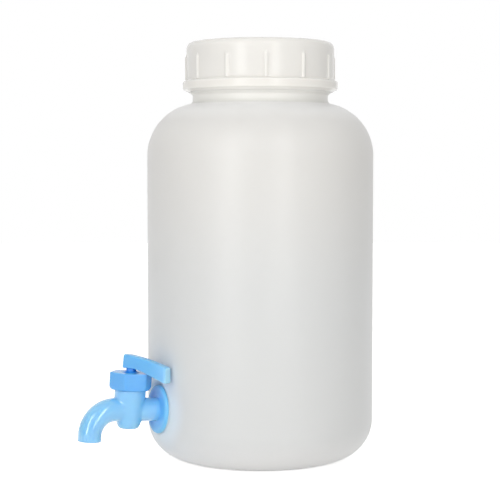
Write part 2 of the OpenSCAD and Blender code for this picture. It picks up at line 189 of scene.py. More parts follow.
class SpigotSettings(bpy.types.PropertyGroup):
    """Sizes and colours of the spigot's body, measured from the bottle's wall and the pipe's axis."""

    valve_out: length("Valve distance", 22.1 * MM, "Distance from the wall to the valve's axis")
    shank_radius: length("Shank radius", 10.45 * MM, "Outside radius of the shank")
    shank_length: length("Shank length", 15.5 * MM, "Length of the shank inside the wall")
    flange_radius: length("Flange radius", 17.6 * MM, "Radius of the flange")
    flange_thickness: length("Flange thickness", 2.6 * MM, "Thickness of the flange")
    flange_rounding: length("Flange rounding", 1.9 * MM, "Rounding of the flange's front edge")
    # Painted shade: the flange's face is deeper blue where the barrel and the nut shade it, and the shade
    # colour deepens its far side further.
    flange_painted_shade_colour: colour("Flange colour", (0.17, 0.52, 0.98), "Colour of the flange's face")
    shade_colour: colour("Shade colour", (0.05, 0.35, 0.86), "Colour of the flange's shaded side")
    gasket: length("Gasket", 0.8 * MM, "Thickness of a gasket")
    pipe_radius: length("Pipe radius", 8.5 * MM, "Outside radius of the pipe")
    bore_radius: length("Bore radius", 5.5 * MM, "Radius of the waterway")
    barrel_radius: length("Barrel radius", 11.2 * MM, "Radius of the barrel at its upper end")
    barrel_low_radius: length("Lower barrel radius", 8.9 * MM, "Radius of the barrel at its lower end")
    barrel_low: length("Barrel depth", 9.4 * MM, "Depth of the barrel's taper below the pipe's axis")
    barrel_high: length("Barrel height", 9 * MM, "Height of the barrel's taper above the pipe's axis")
    barrel_top: length("Barrel rim", 21.4 * MM, "Height of the barrel's rim")
    cup_height: length("Cup height", 4.2 * MM, "Height of the rounded cup under the barrel")
    cup_radius: length("Cup radius", 7.5 * MM, "Radius of the cup")
    cup_rounding: length("Cup rounding", 1.8 * MM, "Blend at the cup's lower edge")
    spout_radius: length("Spout radius", 8.4 * MM, "Outside radius of the spout")
    spout_out: length("Spout distance", 29.2 * MM, "Distance from the valve's axis to the outlet")
    spout_bend: length("Spout bend", 18.2 * MM, "Bend radius of the spout")
    outlet_drop: length("Outlet drop", 22.4 * MM, "Depth of the outlet below the pipe's axis")
    fillet: length("Fillet", 1.4 * MM, "Blend where pipe and spout meet the barrel")
    edge: length("Edge", 0.5 * MM, "Rounding of the bores' edges")
    colour: colour("Colour", (0.24, 0.6, 1.0), "Colour of the spigot")
    gasket_colour: colour("Gasket colour", (0.7, 0.84, 0.93), "Colour of the gaskets")


class ValveSettings(bpy.types.PropertyGroup):
    """Sizes of the plug and the bonnet nut, measured from the pipe's axis."""

    plug_radius: length("Plug radius", 7.6 * MM, "Radius of the plug at the pipe's axis")
    plug_taper: degrees("Plug taper", 4.5, "Half angle of the plug")
    plug_gap: length("Plug gap", 0.08 * MM, "Running gap between plug and seat")
    plug_low: length("Plug depth", 11.2 * MM, "Depth of the plug below the pipe's axis")
    plug_high: length("Plug height", 20 * MM, "Height of the plug's shoulder")
    port_radius: length("Port radius", 4.5 * MM, "Radius of the port through the plug")
    stem_radius: length("Stem radius", 6.5 * MM, "Radius of the stem in the bonnet nut")
    cone_height: length("Cone height", 1 * MM, "Height of the cone above the bonnet nut")
    neck_radius: length("Neck radius", 3.6 * MM, "Radius of the stem under the lever")
    tang_width: length("Tang width", 4.8 * MM, "Width of the square tang")
    tang_height: length("Tang height", 6 * MM, "Height of the tang above the lever's lower face")
    running_gap: length("Running gap", 0.2 * MM, "Gap between the stem and the bonnet nut")
    nut_flats: length("Nut flats", 27.4 * MM, "Width of the bonnet nut across its flats")
    nut_low: length("Nut depth", 14.4 * MM, "Height of the bonnet nut's lower face")
    nut_height: length("Nut height", 12.6 * MM, "Height of the bonnet nut")
    nut_plate: length("Nut plate", 3 * MM, "Thickness of the bonnet nut's top")
    nut_chamfer: length("Nut chamfer", 2 * MM, "Depth of the chamfer at the lower corners")
    nut_rounding: length("Nut rounding", 1.1 * MM, "Rounding of the bonnet nut's edges")
    nut_turn: degrees("Nut turn", -8, "Turn of the bonnet nut")
    collar_radius: length("Collar radius", 10.9 * MM, "Radius of the barrel's collar in the nut")
    collar_gap: length("Collar gap", 0.15 * MM, "Depth of thread left between nut and collar")
    nut_colour: colour("Nut colour", (0.15, 0.49, 0.96), "Colour of the bonnet nut")
    # Painted shade: the plug and stem are a deeper blue that stands in for the lever's shade.
    stem_painted_shade_colour: colour("Stem colour", (0.04, 0.33, 0.84), "Colour of the plug and its stem")
    ring_colour: colour("Ring colour", (0.82, 0.82, 0.8), "Colour of the thrust ring")


class LeverSettings(bpy.types.PropertyGroup):
    """Sizes and colour of the lever, measured from the valve's axis."""

    turn: degrees("Turn", 127, "Angle from the spout")
    reach: length("Reach", 30.8 * MM, "Reach of the lever")
    back: length("Back", 6 * MM, "Length of the lever behind the axis")
    width: length("Width", 9 * MM, "Width at the lower edge")
    gap: length("Gap", 2 * MM, "Gap between the stem's cone and the lever")
    height: length("Height", 10.2 * MM, "Height over the stem")
    level: length("Level", 4 * MM, "Distance at which the top begins to slope")
    slope: degrees("Slope", 15, "Slope of the top")
    knee: length("Knee", 7 * MM, "Distance at which the underside begins to drop")
    under_slope: degrees("Under slope", 19, "Slope of the underside")
    draft: length("Draft", 0.6 * MM, "Spread of the sides and ends from top to bottom")
    wall: length("Wall", 1.6 * MM, "Wall of the hollow lever")
    rib: length("Rib", 1.2 * MM, "Thickness of the two cross ribs")
    rounding: length("Rounding", 1.6 * MM, "Blend of the edges")
    bend: length("Bend", 4.5 * MM, "Blend where the top begins to slope")
    colour: colour("Colour", (0.18, 0.53, 0.88), "Colour of the lever")
    # Painted light: the lever's outer half is painted paler.
    outer_painted_light_colour: colour("Grip colour", (0.27, 0.61, 0.94), "Colour of the hollow outer half")
    # Painted highlight: the lever's end wall is painted pale.
    tip_painted_highlight_colour: colour("Tip colour", (0.42, 0.74, 1.0), "Colour of the thin end wall")


class StageSettings(bpy.types.PropertyGroup):
    """Camera, floor and light."""

    camera_distance: length("Camera distance", 1096.6 * MM, "Level distance from the bottle's axis")
    camera_height: length("Camera height", 218.9 * MM, "Height of the camera")
    camera_azimuth: degrees("Azimuth", 62.8, "Camera's place in plan")
    camera_pitch: degrees("Pitch", 3.346, "Downward tilt of the camera")
    camera_yaw: degrees("Yaw", 0.4, "Turn of the view to the left")
    camera_lens: number("Lens", 105.73, "Focal length in millimetres")
    strip_left: degrees("Left light", -29.4, "Turn from the camera")
    strip_right: degrees("Right light", 23, "Turn from the camera")
    strip_distance: length("Light distance", 1.5, "Level distance of the strip lights")
    strip_left_width: length("Left light width", 0.42, "Width of the left strip light")
    strip_right_width: length("Right light width", 0.32, "Width of the right strip light")
    strip_height: length("Light height", 1.7, "Height of a strip light")
    strip_middle: length("Light middle", 0.6, "Height of a strip light's middle above the floor")
    strip_glow: number("Light glow", 4.4, "Brightness of a strip's face")
    sky: number("Sky", 0.59, "Strength of the even light")
    side_shade: portion("Side shade", 0.38, "Share of light kept off at both sides")
    side_turn: degrees("Side turn", 12, "Turn of the dim sides")
    side_start: portion("Side shade start", 0.6, "Sideways share at which it begins")
    floor_radius: length("Floor radius", 3.0, "Radius of the round floor")
    floor_shade: number("Floor shade", 0.85, "Grey level of the floor")
    floor_glow: number("Floor glow", 0.7, "Lift of the floor to white")


SETTINGS = {
    "bottle": BottleSettings,
    "cap": CapSettings,
    "thread": ThreadSettings,
    "spigot": SpigotSettings,
    "valve": ValveSettings,
    "lever": LeverSettings,
    "stage": StageSettings,
}


class CarboySettings(bpy.types.PropertyGroup):
    """All settings of the carboy, in one group for each piece."""

    bottle: PointerProperty(type=BottleSettings)
    cap: PointerProperty(type=CapSettings)
    thread: PointerProperty(type=ThreadSettings)
    spigot: PointerProperty(type=SpigotSettings)
    valve: PointerProperty(type=ValveSettings)
    lever: PointerProperty(type=LeverSettings)
    stage: PointerProperty(type=StageSettings)


# ---- profiles and turned shells ----

WELD_REACH = 1e-6
SLIVER_WIDTH = 1e-7


def line(start, end, count):
    """Points from start to end, without the end."""
    share = np.arange(count)[:, None] / count
    return np.asarray(start) * (1 - share) + np.asarray(end) * share


def arc(centre, radius, start, end, count):
    """Points of an arc from one angle to another in degrees, without the last."""
    angles = np.radians(start + (end - start) * np.arange(count) / count)
    return np.column_stack([centre[0] + radius * np.cos(angles), centre[1] + radius * np.sin(angles)])


def smooth_step(start, end, low, high, count):
    """Points of a soft step between two radii and two heights, without the last."""
    share = np.arange(count) / count
    rise = share * share * (3 - 2 * share)
    return np.column_stack([start + (end - start) * share, low + (high - low) * rise])


def smooth_rise(start, end, low, high, count):
    """Points of a soft change of radius between two heights, without the last."""
    return smooth_step(low, high, start, end, count)[:, ::-1]


def even_angles(count):
    """Angles of evenly spread columns."""
    return np.arange(count) * 2 * math.pi / count


def turned_points(profile, angles):
    """Profile points (radius, height) turned about Z, as an array of columns by rows."""
    x = np.outer(np.cos(angles), profile[:, 0])
    y = np.outer(np.sin(angles), profile[:, 0])
    z = np.broadcast_to(profile[:, 1], x.shape)
    return np.stack([x, y, z], axis=-1)


def turned_mesh(name, points):
    """Closed mesh of turned points, whose profile starts and ends on the axis or on itself."""
    columns, rows = points.shape[:2]
    closed_profile = points[0, 0, :2].any()
    row_steps = rows if closed_profile else rows - 1
    column = np.repeat(np.arange(columns), row_steps)
    row = np.tile(np.arange(row_steps), columns)
    next_column = (column + 1) % columns
    next_row = (row + 1) % rows
    faces = np.column_stack(
        [
            column * rows + row,
            next_column * rows + row,
            next_column * rows + next_row,
            column * rows + next_row,
        ]
    )
    mesh = bpy.data.meshes.new(name)
    mesh.from_pydata(points.reshape(-1, 3).tolist(), [], faces.tolist())
    weld(mesh, drop_slivers=True)
    return mesh


def weld(mesh, drop_slivers=False):
    """Joins a mesh's doubled points and turns its faces outwards."""
    shape = bmesh.new()
    shape.from_mesh(mesh)
    bmesh.ops.remove_doubles(shape, verts=shape.verts, dist=WELD_REACH)
    if drop_slivers:
        bmesh.ops.dissolve_degenerate(shape, edges=shape.edges, dist=SLIVER_WIDTH)
    bmesh.ops.recalc_face_normals(shape, faces=shape.faces)
    shape.to_mesh(mesh)
    shape.free()


# ---- distance fields ----

FINE_STEP = 0.35 * MM
BODY_STEP = 0.45 * MM
MARGIN = 1 * MM
SETTLE_PASSES = 3
LEAST_SLOPE = 0.2
LEAST_LENGTH = 1e-12


def smooth_union(first, second, blend):
    """Distance to two solids joined with a soft fillet."""
    near = np.maximum(blend - np.abs(first - second), 0) / blend
    return np.minimum(first, second) - near * near * blend / 4


def smooth_overlap(first, second, blend):
    """Distance to the common part of two solids, with a softened edge."""
    return -smooth_union(-first, -second, blend)


def smooth_cut(solid, cutter, blend):
    """Distance to a solid less a cutter, with a softened edge."""
    return smooth_overlap(solid, -cutter, blend)


def overlap_all(fields, blend):
    """Distance to the common part of several solids, with softened edges."""
    result = fields[0]
    for field in fields[1:]:
        result = smooth_overlap(result, field, blend)
    return result


def rounded_drum(radial, along, radius, low, high, rounding):
    """Distance to a cylinder between two heights with rounded edges."""
    side = radial - (radius - rounding)
    end = np.abs(along - (low + high) / 2) - ((high - low) / 2 - rounding)
    outside = np.hypot(np.maximum(side, 0), np.maximum(end, 0))
    return np.minimum(np.maximum(side, end), 0) + outside - rounding


def slab(along, low, high):
    """Distance to the layer between two heights."""
    return np.maximum(low - along, along - high)


def settle(field, points, passes, reach):
    """Moves points onto the surface of a field."""
    probe = reach / 10
    offsets = probe * np.eye(3)
    for _ in range(passes):
        slope = np.stack(
            [(field(points + step) - field(points - step)) / (2 * probe) for step in offsets], axis=-1
        )
        steepness = np.maximum((slope * slope).sum(axis=1), LEAST_SLOPE)
        shift = slope * (field(points) / steepness)[:, None]
        size = np.linalg.norm(shift, axis=1, keepdims=True)
        points = points - shift * np.minimum(1, reach / np.maximum(size, LEAST_LENGTH))
    return points


def field_mesh(name, field, low, high, step):
    """Closed mesh of quads over the surface of a distance field, found between two corners."""
    low = np.asarray(low, float)
    counts = np.ceil((np.asarray(high) - low) / step).astype(int) + 1
    ticks = [low[i] + step * np.arange(counts[i]) for i in range(3)]
    corners = np.stack(np.meshgrid(*ticks, indexing="ij"), axis=-1)
    values = field(corners.reshape(-1, 3)).reshape(counts)
    inside = values < 0
    filled = np.zeros(counts - 1, int)
    for corner in np.ndindex(2, 2, 2):
        filled += inside[tuple(slice(c, n - 1 + c) for c, n in zip(corner, counts))]
    crossed = (filled > 0) & (filled < 8)
    number = np.full(crossed.shape, -1)
    number[crossed] = np.arange(crossed.sum())
    cells = np.argwhere(crossed)
    points = low + step * crossing_centres(values, cells)
    points = settle(field, points, SETTLE_PASSES, step / 2)
    mesh = bpy.data.meshes.new(name)
    mesh.from_pydata(points.tolist(), [], crossing_faces(inside, number).tolist())
    mesh.validate()
    return mesh


def crossing_centres(values, cells):
    """Mean of the points where a cell's edges cross the surface, in grid steps."""
    total = np.zeros((len(cells), 3))
    count = np.zeros(len(cells))
    for axis in range(3):
        across = [i for i in range(3) if i != axis]
        for first in (0, 1):
            for second in (0, 1):
                start = np.zeros(3, int)
                start[across[0]] = first
                start[across[1]] = second
                end = start.copy()
                end[axis] = 1
                at_start = values[tuple((cells + start).T)]
                at_end = values[tuple((cells + end).T)]
                crosses = (at_start < 0) != (at_end < 0)
                share = np.where(crosses, at_start / np.where(crosses, at_start - at_end, 1), 0)
                point = cells + start + share[:, None] * (end - start)
                total += point * crosses[:, None]
                count += crosses
    return total / count[:, None]


def crossing_faces(inside, number):
    """One quad round each grid edge that crosses the surface, facing outwards."""
    faces = []
    for axis in range(3):
        second, third = (axis + 1) % 3, (axis + 2) % 3
        ahead = [slice(None)] * 3
        behind = [slice(None)] * 3
        ahead[axis] = slice(1, None)
        behind[axis] = slice(None, -1)
        changes = inside[tuple(behind)] != inside[tuple(ahead)]
        edges = np.argwhere(changes)
        edges = edges[(edges[:, second] > 0) & (edges[:, third] > 0)]
        leaves = inside[tuple(edges.T)]
        ring = []
        for step_second, step_third in ((-1, -1), (0, -1), (0, 0), (-1, 0)):
            cell = edges.copy()
            cell[:, second] += step_second
            cell[:, third] += step_third
            ring.append(number[tuple(cell.T)])
        ring = np.column_stack(ring)
        faces.append(np.where(leaves[:, None], ring, ring[:, ::-1]))
    return np.vstack(faces)


# ---- placing ----


def tap_matrix(settings):
    """Matrix from the spigot's own frame, with its origin on the bottle's wall, to the model."""
    tilt = Matrix.Rotation(-TAP_TILT, 4, "X")
    wall_point = VALVE_POINT - tilt @ Vector((0, -settings.spigot.valve_out, 0))
    return Matrix.Translation(wall_point) @ tilt


def flange_face(settings):
    """Distance of the flange's face from the bottle's wall."""
    spigot = settings.spigot
    return spigot.gasket - settings.bottle.seat_depth + spigot.flange_thickness


def at_valve(settings):
    """Matrix from the valve's axis, level with the pipe, to the model."""
    return tap_matrix(settings) @ Matrix.Translation((0, -settings.spigot.valve_out, 0))


def at_lever(settings):
    """Matrix from the valve's axis, with +X along the lever, to the model."""
    return at_valve(settings) @ Matrix.Rotation(settings.lever.turn - math.pi / 2, 4, "Z")


def finish_piece(name, mesh, body, material, replaced=(), sharp=None):
    """Links a mesh as a piece, smooths it, and ties it to its body, finish and CAD nodes."""
    piece = bpy.data.objects.new(name, mesh)
    bpy.context.scene.collection.objects.link(piece)
    mesh.materials.clear()
    mesh.materials.append(material)
    mesh.shade_smooth()
    if sharp is not None:
        mesh.set_sharp_from_angle(angle=sharp)
    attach(piece, body)
    if replaced:
        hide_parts(*replaced)
    return piece


def without_modifiers(piece):
    """Plain mesh of a piece as its modifiers leave it."""
    bpy.context.view_layer.update()
    evaluated = piece.evaluated_get(bpy.context.evaluated_depsgraph_get())
    mesh = bpy.data.meshes.new_from_object(evaluated)
    bpy.data.objects.remove(piece)
    return mesh


def scratch_piece(name, mesh):
    """Object that only lives while its modifiers are worked out."""
    piece = bpy.data.objects.new(name, mesh)
    bpy.context.scene.collection.objects.link(piece)
    return piece


# ---- materials ----

PLASTIC_IOR = 1.5
COAT_IOR = 1.75
IVORY_SHINE = 0.3
SKY_SHINE = 0.15
GLOSS_CHANGE = 0.05
BUMP_HEIGHT = 0.2 * MM
# The crease's colour is painted light.
CREASE_START = 0.6  # share of the shoulder's height at which the crease's colour begins
BLUE_DEPTH = 1.5 * MM
GASKET_DEPTH = 1 * MM
LEVER_TIP_DEPTH = 1.1 * MM
LEVER_TIP_FADE = 0.6 * MM
SURFACE_INPUTS = (
    "Roughness", "Wave Scale", "Wave Amount", "Grain Scale", "Grain Amount", "Gloss Change"
)
SURFACES = {
    "milky plastic": (0.37, 22.0, 1.0, 2600.0, 0.06),
    "ivory plastic": (0.2, 60.0, 0.35, 3000.0, 0.03),
    "sky blue plastic": (0.13, 90.0, 0.3, 3500.0, 0.02),
    "lever plastic": (0.2, 90.0, 0.3, 3500.0, 0.03),
    "nut plastic": (0.22, 90.0, 0.3, 3500.0, 0.03),
    "stem plastic": (0.25, 90.0, 0.3, 3500.0, 0.03),
    "gasket rubber": (0.5, 150.0, 0.4, 4000.0, 0.2),
    "liner foam": (0.7, 200.0, 0.4, 2500.0, 0.5),
    "ring plastic": (0.35, 150.0, 0.3, 3000.0, 0.05),
}


def new_group(name, kind, inputs, outputs):
    """Empty node group with named sockets of the given types."""
    group = bpy.data.node_groups.new(name, kind)
    for in_out, sockets in (("INPUT", inputs), ("OUTPUT", outputs)):
        for socket, socket_type in sockets.items():
            group.interface.new_socket(socket, in_out=in_out, socket_type=f"NodeSocket{socket_type}")
    return group


def fill_inputs(tree, node, inputs):
    """Sets a node's inputs to values, or links them to sockets."""
    for socket, value in inputs.items():
        if isinstance(value, bpy.types.NodeSocket):
            tree.links.new(value, node.inputs[socket])
        else:
            node.inputs[socket].default_value = value


def add_node(tree, kind, inputs=None, **attributes):
    """Adds a node, sets its attributes and fills its inputs."""
    node = tree.nodes.new(kind)
    for key, value in attributes.items():
        setattr(node, key, value)
    fill_inputs(tree, node, inputs or {})
    return node


def maths(tree, operation, *values):
    """Adds a maths node over sockets and numbers, and returns its result."""
    return add_node(tree, "ShaderNodeMath", dict(enumerate(values)), operation=operation).outputs[0]


def vector_maths(tree, operation, *values):
    """Adds a vector maths node, and returns its vector, or its value if the result is a number."""
    node = add_node(tree, "ShaderNodeVectorMath", dict(enumerate(values)), operation=operation)
    return node.outputs["Value" if operation in ("LENGTH", "DOT_PRODUCT") else "Vector"]


def moulded_surface_group():
    """Node group of a moulded surface: soft waviness, fine grain and a varying gloss."""
    name = "moulded surface"
    if name in bpy.data.node_groups:
        return bpy.data.node_groups[name]
    inputs = dict.fromkeys(SURFACE_INPUTS, "Float")
    group = new_group(name, "ShaderNodeTree", inputs, {"Height": "Float", "Roughness": "Float"})
    given = add_node(group, "NodeGroupInput").outputs
    place = add_node(group, "ShaderNodeTexCoord").outputs["Object"]
    wave, grain = (
        add_node(
            group, "ShaderNodeTexNoise", {"Vector": place, "Scale": given[scale], "Detail": detail}
        ).outputs["Fac"]
        for scale, detail in (("Wave Scale", 2.0), ("Grain Scale", 1.0))
    )
    wave_height = maths(group, "MULTIPLY", wave, given["Wave Amount"])
    height = maths(group, "MULTIPLY_ADD", grain, given["Grain Amount"], wave_height)
    centred = maths(group, "SUBTRACT", wave, 0.5)
    rough = maths(group, "MULTIPLY_ADD", centred, given["Gloss Change"], given["Roughness"])
    add_node(group, "NodeGroupOutput", {"Height": height, "Roughness": rough})
    return group


def tint_group():
    """Node group that blends between two colours along a direction, or away from a place."""
    name = "tint"
    if name in bpy.data.node_groups:
        return bpy.data.node_groups[name]
    inputs = {
        "Near Colour": "Color",
        "Far Colour": "Color",
        "Place": "Vector",
        "Direction": "Vector",
        "Start": "Float",
        "End": "Float",
    }
    group = new_group(name, "ShaderNodeTree", inputs, {"Color": "Color"})
    given = add_node(group, "NodeGroupInput").outputs
    place = add_node(group, "ShaderNodeTexCoord").outputs["Object"]
    offset = vector_maths(group, "SUBTRACT", place, given["Place"])
    away = vector_maths(group, "LENGTH", offset)
    along = vector_maths(group, "DOT_PRODUCT", offset, given["Direction"])
    directed = vector_maths(group, "LENGTH", given["Direction"])
    measure = add_node(
        group, "ShaderNodeMix", {"Factor": directed, "A": away, "B": along}, data_type="FLOAT"
    )
    share = add_node(
        group,
        "ShaderNodeMapRange",
        {"Value": measure.outputs["Result"], "From Min": given["Start"], "From Max": given["End"]},
        interpolation_type="SMOOTHSTEP",
    )
    mix = add_node(
        group,
        "ShaderNodeMix",
        {"Factor": share.outputs["Result"], "A": given["Near Colour"], "B": given["Far Colour"]},
        data_type="RGBA",
    )
    add_node(group, "NodeGroupOutput", {"Color": mix.outputs["Result"]})
    return group


def add_tint(tree, below, tint):
    """Adds a tint over a colour or a colour socket, and returns its colour socket."""
    under, over = ("Near Colour", "Far Colour") if tint["far"] else ("Far Colour", "Near Colour")
    inputs = {
        "Place": tint["place"],
        "Direction": tint["direction"],
        "Start": tint["start"],
        "End": tint["end"],
        under: below if isinstance(below, bpy.types.NodeSocket) else (*below, 1),
        over: (*tint["colour"], 1),
    }
    return add_node(tree, "ShaderNodeGroup", inputs, node_tree=tint_group()).outputs["Color"]


def tint_above(tint_colour, start, end, direction=(0, 0, 1), place=(0, 0, 0)):
    """Tint that takes over from start to end along a direction, upwards if none is given."""
    return {
        "colour": tint_colour,
        "start": start,
        "end": end,
        "direction": direction,
        "place": place,
        "far": True,
    }


def tint_below(tint_colour, start, end, direction, place):
    """Tint that fades out from start to end along a direction."""
    return {**tint_above(tint_colour, start, end, direction, place), "far": False}


def tint_beyond(tint_colour, place, start, end):
    """Tint that takes over from start to end away from a place."""
    return tint_above(tint_colour, start, end, (0, 0, 0), place)


def tint_round(tint_colour, place, start, end):
    """Tint round a place that fades out from start to end."""
    return {**tint_beyond(tint_colour, place, start, end), "far": False}


def plastic_material(name, base, soft_depth=0.0, shine=0.5, tints=(), uncoated=None):
    """Moulded plastic of one name, made once. soft_depth lets light spread under the surface, tints
    lie over the base, and a clear gloss lies over all but the uncoated place.
    """
    if name in bpy.data.materials:
        return bpy.data.materials[name]
    material = bpy.data.materials.new(name)
    material.use_nodes = True
    tree = material.node_tree
    surface = add_node(
        tree,
        "ShaderNodeGroup",
        dict(zip(SURFACE_INPUTS, (*SURFACES[name], GLOSS_CHANGE))),
        node_tree=moulded_surface_group(),
    )
    bump = add_node(
        tree, "ShaderNodeBump", {"Height": surface.outputs["Height"], "Distance": BUMP_HEIGHT}
    )
    inputs = {
        "Base Color": (*base, 1),
        "Roughness": surface.outputs["Roughness"],
        "IOR": PLASTIC_IOR,
        "Specular IOR Level": shine,
        "Normal": bump.outputs["Normal"],
    }
    if soft_depth:
        inputs["Subsurface Weight"] = 1.0
        inputs["Subsurface Radius"] = (1.0, 1.0, 1.0)
        inputs["Subsurface Scale"] = soft_depth
    below = base
    for tint in tints:
        below = add_tint(tree, below, tint)
        inputs["Base Color"] = below
    if uncoated:
        inputs["Coat Weight"] = add_tint(tree, (1, 1, 1), uncoated)
        inputs["Coat Roughness"] = SURFACES[name][0] / 2
        inputs["Coat IOR"] = COAT_IOR
    fill_inputs(tree, tree.nodes["Principled BSDF"], inputs)
    return material


def milky_plastic(settings):
    """Blow-moulded polyethylene of the bottle: satin, faintly uneven, warmer towards the neck, with painted
    light in the bottom corner, in the shoulder's crease and on the neck under the cap, and a painted blue
    glow round the spigot's seat.
    """
    bottle = settings.bottle
    neck_start = bottle.shoulder_start + bottle.shoulder_radius
    upper_shoulder = bottle.shoulder_start + CREASE_START * bottle.shoulder_radius
    flange_centre = tap_matrix(settings).translation
    tints = [
        # Painted light: the bottom corner fades from the lighter base colour to the lower colour.
        tint_above(bottle.colour_low, 2 * MM, bottle.corner_radius),
        tint_above(bottle.colour_high, bottle.shoulder_start / 2, bottle.shoulder_start),
        # Painted light: the shoulder's crease is lightened, and the neck colour takes over again at the
        # neck's foot.
        tint_above(bottle.colour_crease_painted_light, upper_shoulder, neck_start),
        tint_above(bottle.colour_neck, neck_start - bottle.crease_radius / 2, neck_start),
        # Painted light: the neck lightens towards the cap.
        tint_above(bottle.colour_thread_painted_light, neck_start, CAP_LOW.z - bottle.bead_low),
        # Painted light: a pale blue glow round the spigot's seat.
        tint_round(bottle.colour_painted_glow, flange_centre, bottle.seat_radius, 2 * bottle.seat_radius),
    ]
    return plastic_material("milky plastic", bottle.colour_base_painted_light, bottle.soft_depth, tints=tints)


def ivory_plastic(settings):
    """Injection-moulded polypropylene of the cap: glossy and warm white, with painted light on its lower
    face.
    """
    cap = settings.cap
    # Painted light: the lower face keeps the lighter lower colour, and the cap's own colour takes over
    # above the lip.
    over = tint_above(cap.colour, CAP_LOW.z, CAP_LOW.z + cap.band_lip + cap.band_rounding)
    return plastic_material("ivory plastic", cap.colour_low, cap.soft_depth, IVORY_SHINE, [over])


def sky_plastic(settings):
    """Glossy pale blue plastic of the spigot, with painted shade that deepens the flange and its far side
    most.
    """
    spigot = settings.spigot
    mount = tap_matrix(settings)
    centre = mount.translation
    outward = mount.to_3x3() @ Vector((0, -1, 0))
    shaded_side = mount.to_3x3() @ Vector((-1, 0, 0))
    face = flange_face(settings)
    rim_start = spigot.flange_radius - 3 * spigot.flange_rounding
    # Painted shade: the flange is deeper blue and its far side deeper still. The pipe, barrel, spout and
    # the flange's rim keep the spigot's own colour.
    tints = [
        tint_above(spigot.shade_colour, 0, spigot.pipe_radius, shaded_side, centre),
        tint_above(spigot.colour, face, face + spigot.fillet, outward, centre),
        tint_beyond(spigot.colour, centre, rim_start, spigot.flange_radius),
    ]
    matt = tint_below((0, 0, 0), face, face + spigot.fillet, outward, centre)
    return plastic_material(
        "sky blue plastic", spigot.flange_painted_shade_colour, BLUE_DEPTH, SKY_SHINE, tints, uncoated=matt
    )


def lever_plastic(settings):
    """Blue plastic of the lever, with painted light that pales its outer half and a painted highlight on
    its end wall.
    """
    lever = settings.lever
    placing = at_lever(settings)
    along = placing.to_3x3() @ Vector((1, 0, 0))
    tip = lever.reach - LEVER_TIP_DEPTH
    tip_end = tip + LEVER_TIP_FADE
    tints = [
        # Painted light: the outer half is paler.
        tint_above(lever.outer_painted_light_colour, lever.reach / 2, lever.reach, along, placing.translation),
        # Painted highlight on the lever's end wall.
        tint_above(lever.tip_painted_highlight_colour, tip, tip_end, along, placing.translation),
    ]
    return plastic_material("lever plastic", lever.colour, BLUE_DEPTH, tints=tints)


def nut_plastic(settings):
    """Slightly deeper blue plastic of the bonnet nut."""
    return plastic_material("nut plastic", settings.valve.nut_colour, BLUE_DEPTH)


def stem_plastic(settings):
    """Blue plastic of the plug and its stem, painted deeper as shade under the lever."""
    return plastic_material("stem plastic", settings.valve.stem_painted_shade_colour, BLUE_DEPTH)


def gasket_rubber(settings):
    """Soft pale gasket."""
    return plastic_material("gasket rubber", settings.spigot.gasket_colour, GASKET_DEPTH)


def liner_foam(settings):
    """Fine foam of the sealing disc."""
    return plastic_material("liner foam", settings.cap.liner_colour)


def ring_plastic(settings):
    """Plain white plastic of the thrust ring."""
    return plastic_material("ring plastic", settings.valve.ring_colour)


# ---- bottle ----

SHARP_EDGE = math.radians(50)
SEAT_REACH = 1.3  # rows lie closer together up to this many seat radii above the valve's height
FINE_REACH = 1.35  # columns lie closer together up to this many seat radii beside the spigot
FINE_COLUMNS = 60
COARSE_COLUMNS = 170
DRILL_SIDES = 96
CORNER_SPLIT = -50  # degrees at which the bottom corner's points begin to lie closer together
BEAD_CREST = 0.6  # share of the bead's height up to which it keeps its full radius
INNER_FLARE = 1.5  # the seat is wider on the inside by this many walls


def seat_profile(bottle, radial, wall_line, floor_line, edge):
    """Distance out from the wall after the seat is pressed in, for points at a radius in the seat."""
    flank = floor_line + (radial - edge) / math.tan(bottle.seat_flare)
    pressed = smooth_overlap(np.full_like(flank, floor_line), flank, bottle.seat_softness)
    return smooth_union(wall_line, pressed, bottle.seat_softness)


def press_seat(settings, points, floor_depth, edge):
    """Presses the flat seat of the spigot into one face of the bottle's wall."""
    bottle = settings.bottle
    to_model = np.array(tap_matrix(settings))
    to_tap = np.linalg.inv(to_model)
    local = points @ to_tap[:3, :3].T + to_tap[:3, 3]
    radial = np.hypot(local[..., 0], local[..., 2])
    outward = -local[..., 1]
    pressed = seat_profile(bottle, radial, outward, -floor_depth, edge)
    near = (radial < 2 * bottle.seat_radius) & (outward > -bottle.seat_radius)
    local[..., 1] = -np.where(near, pressed, outward)
    return local @ to_model[:3, :3].T + to_model[:3, 3]


def neck_bead(bottle, low):
    """Outline of the soft bead on the neck inside the cap's lower end."""
    neck, crest = bottle.neck_radius, bottle.bead_radius
    high = CAP_LOW.z + bottle.bead_high
    middle = CAP_LOW.z
    upper = CAP_LOW.z + BEAD_CREST * bottle.bead_high
    return np.vstack(
        [
            smooth_rise(neck, crest, low, middle, 8),
            line((crest, middle), (crest, upper), 2),
            smooth_rise(crest, neck, upper, high, 6),
        ]
    )


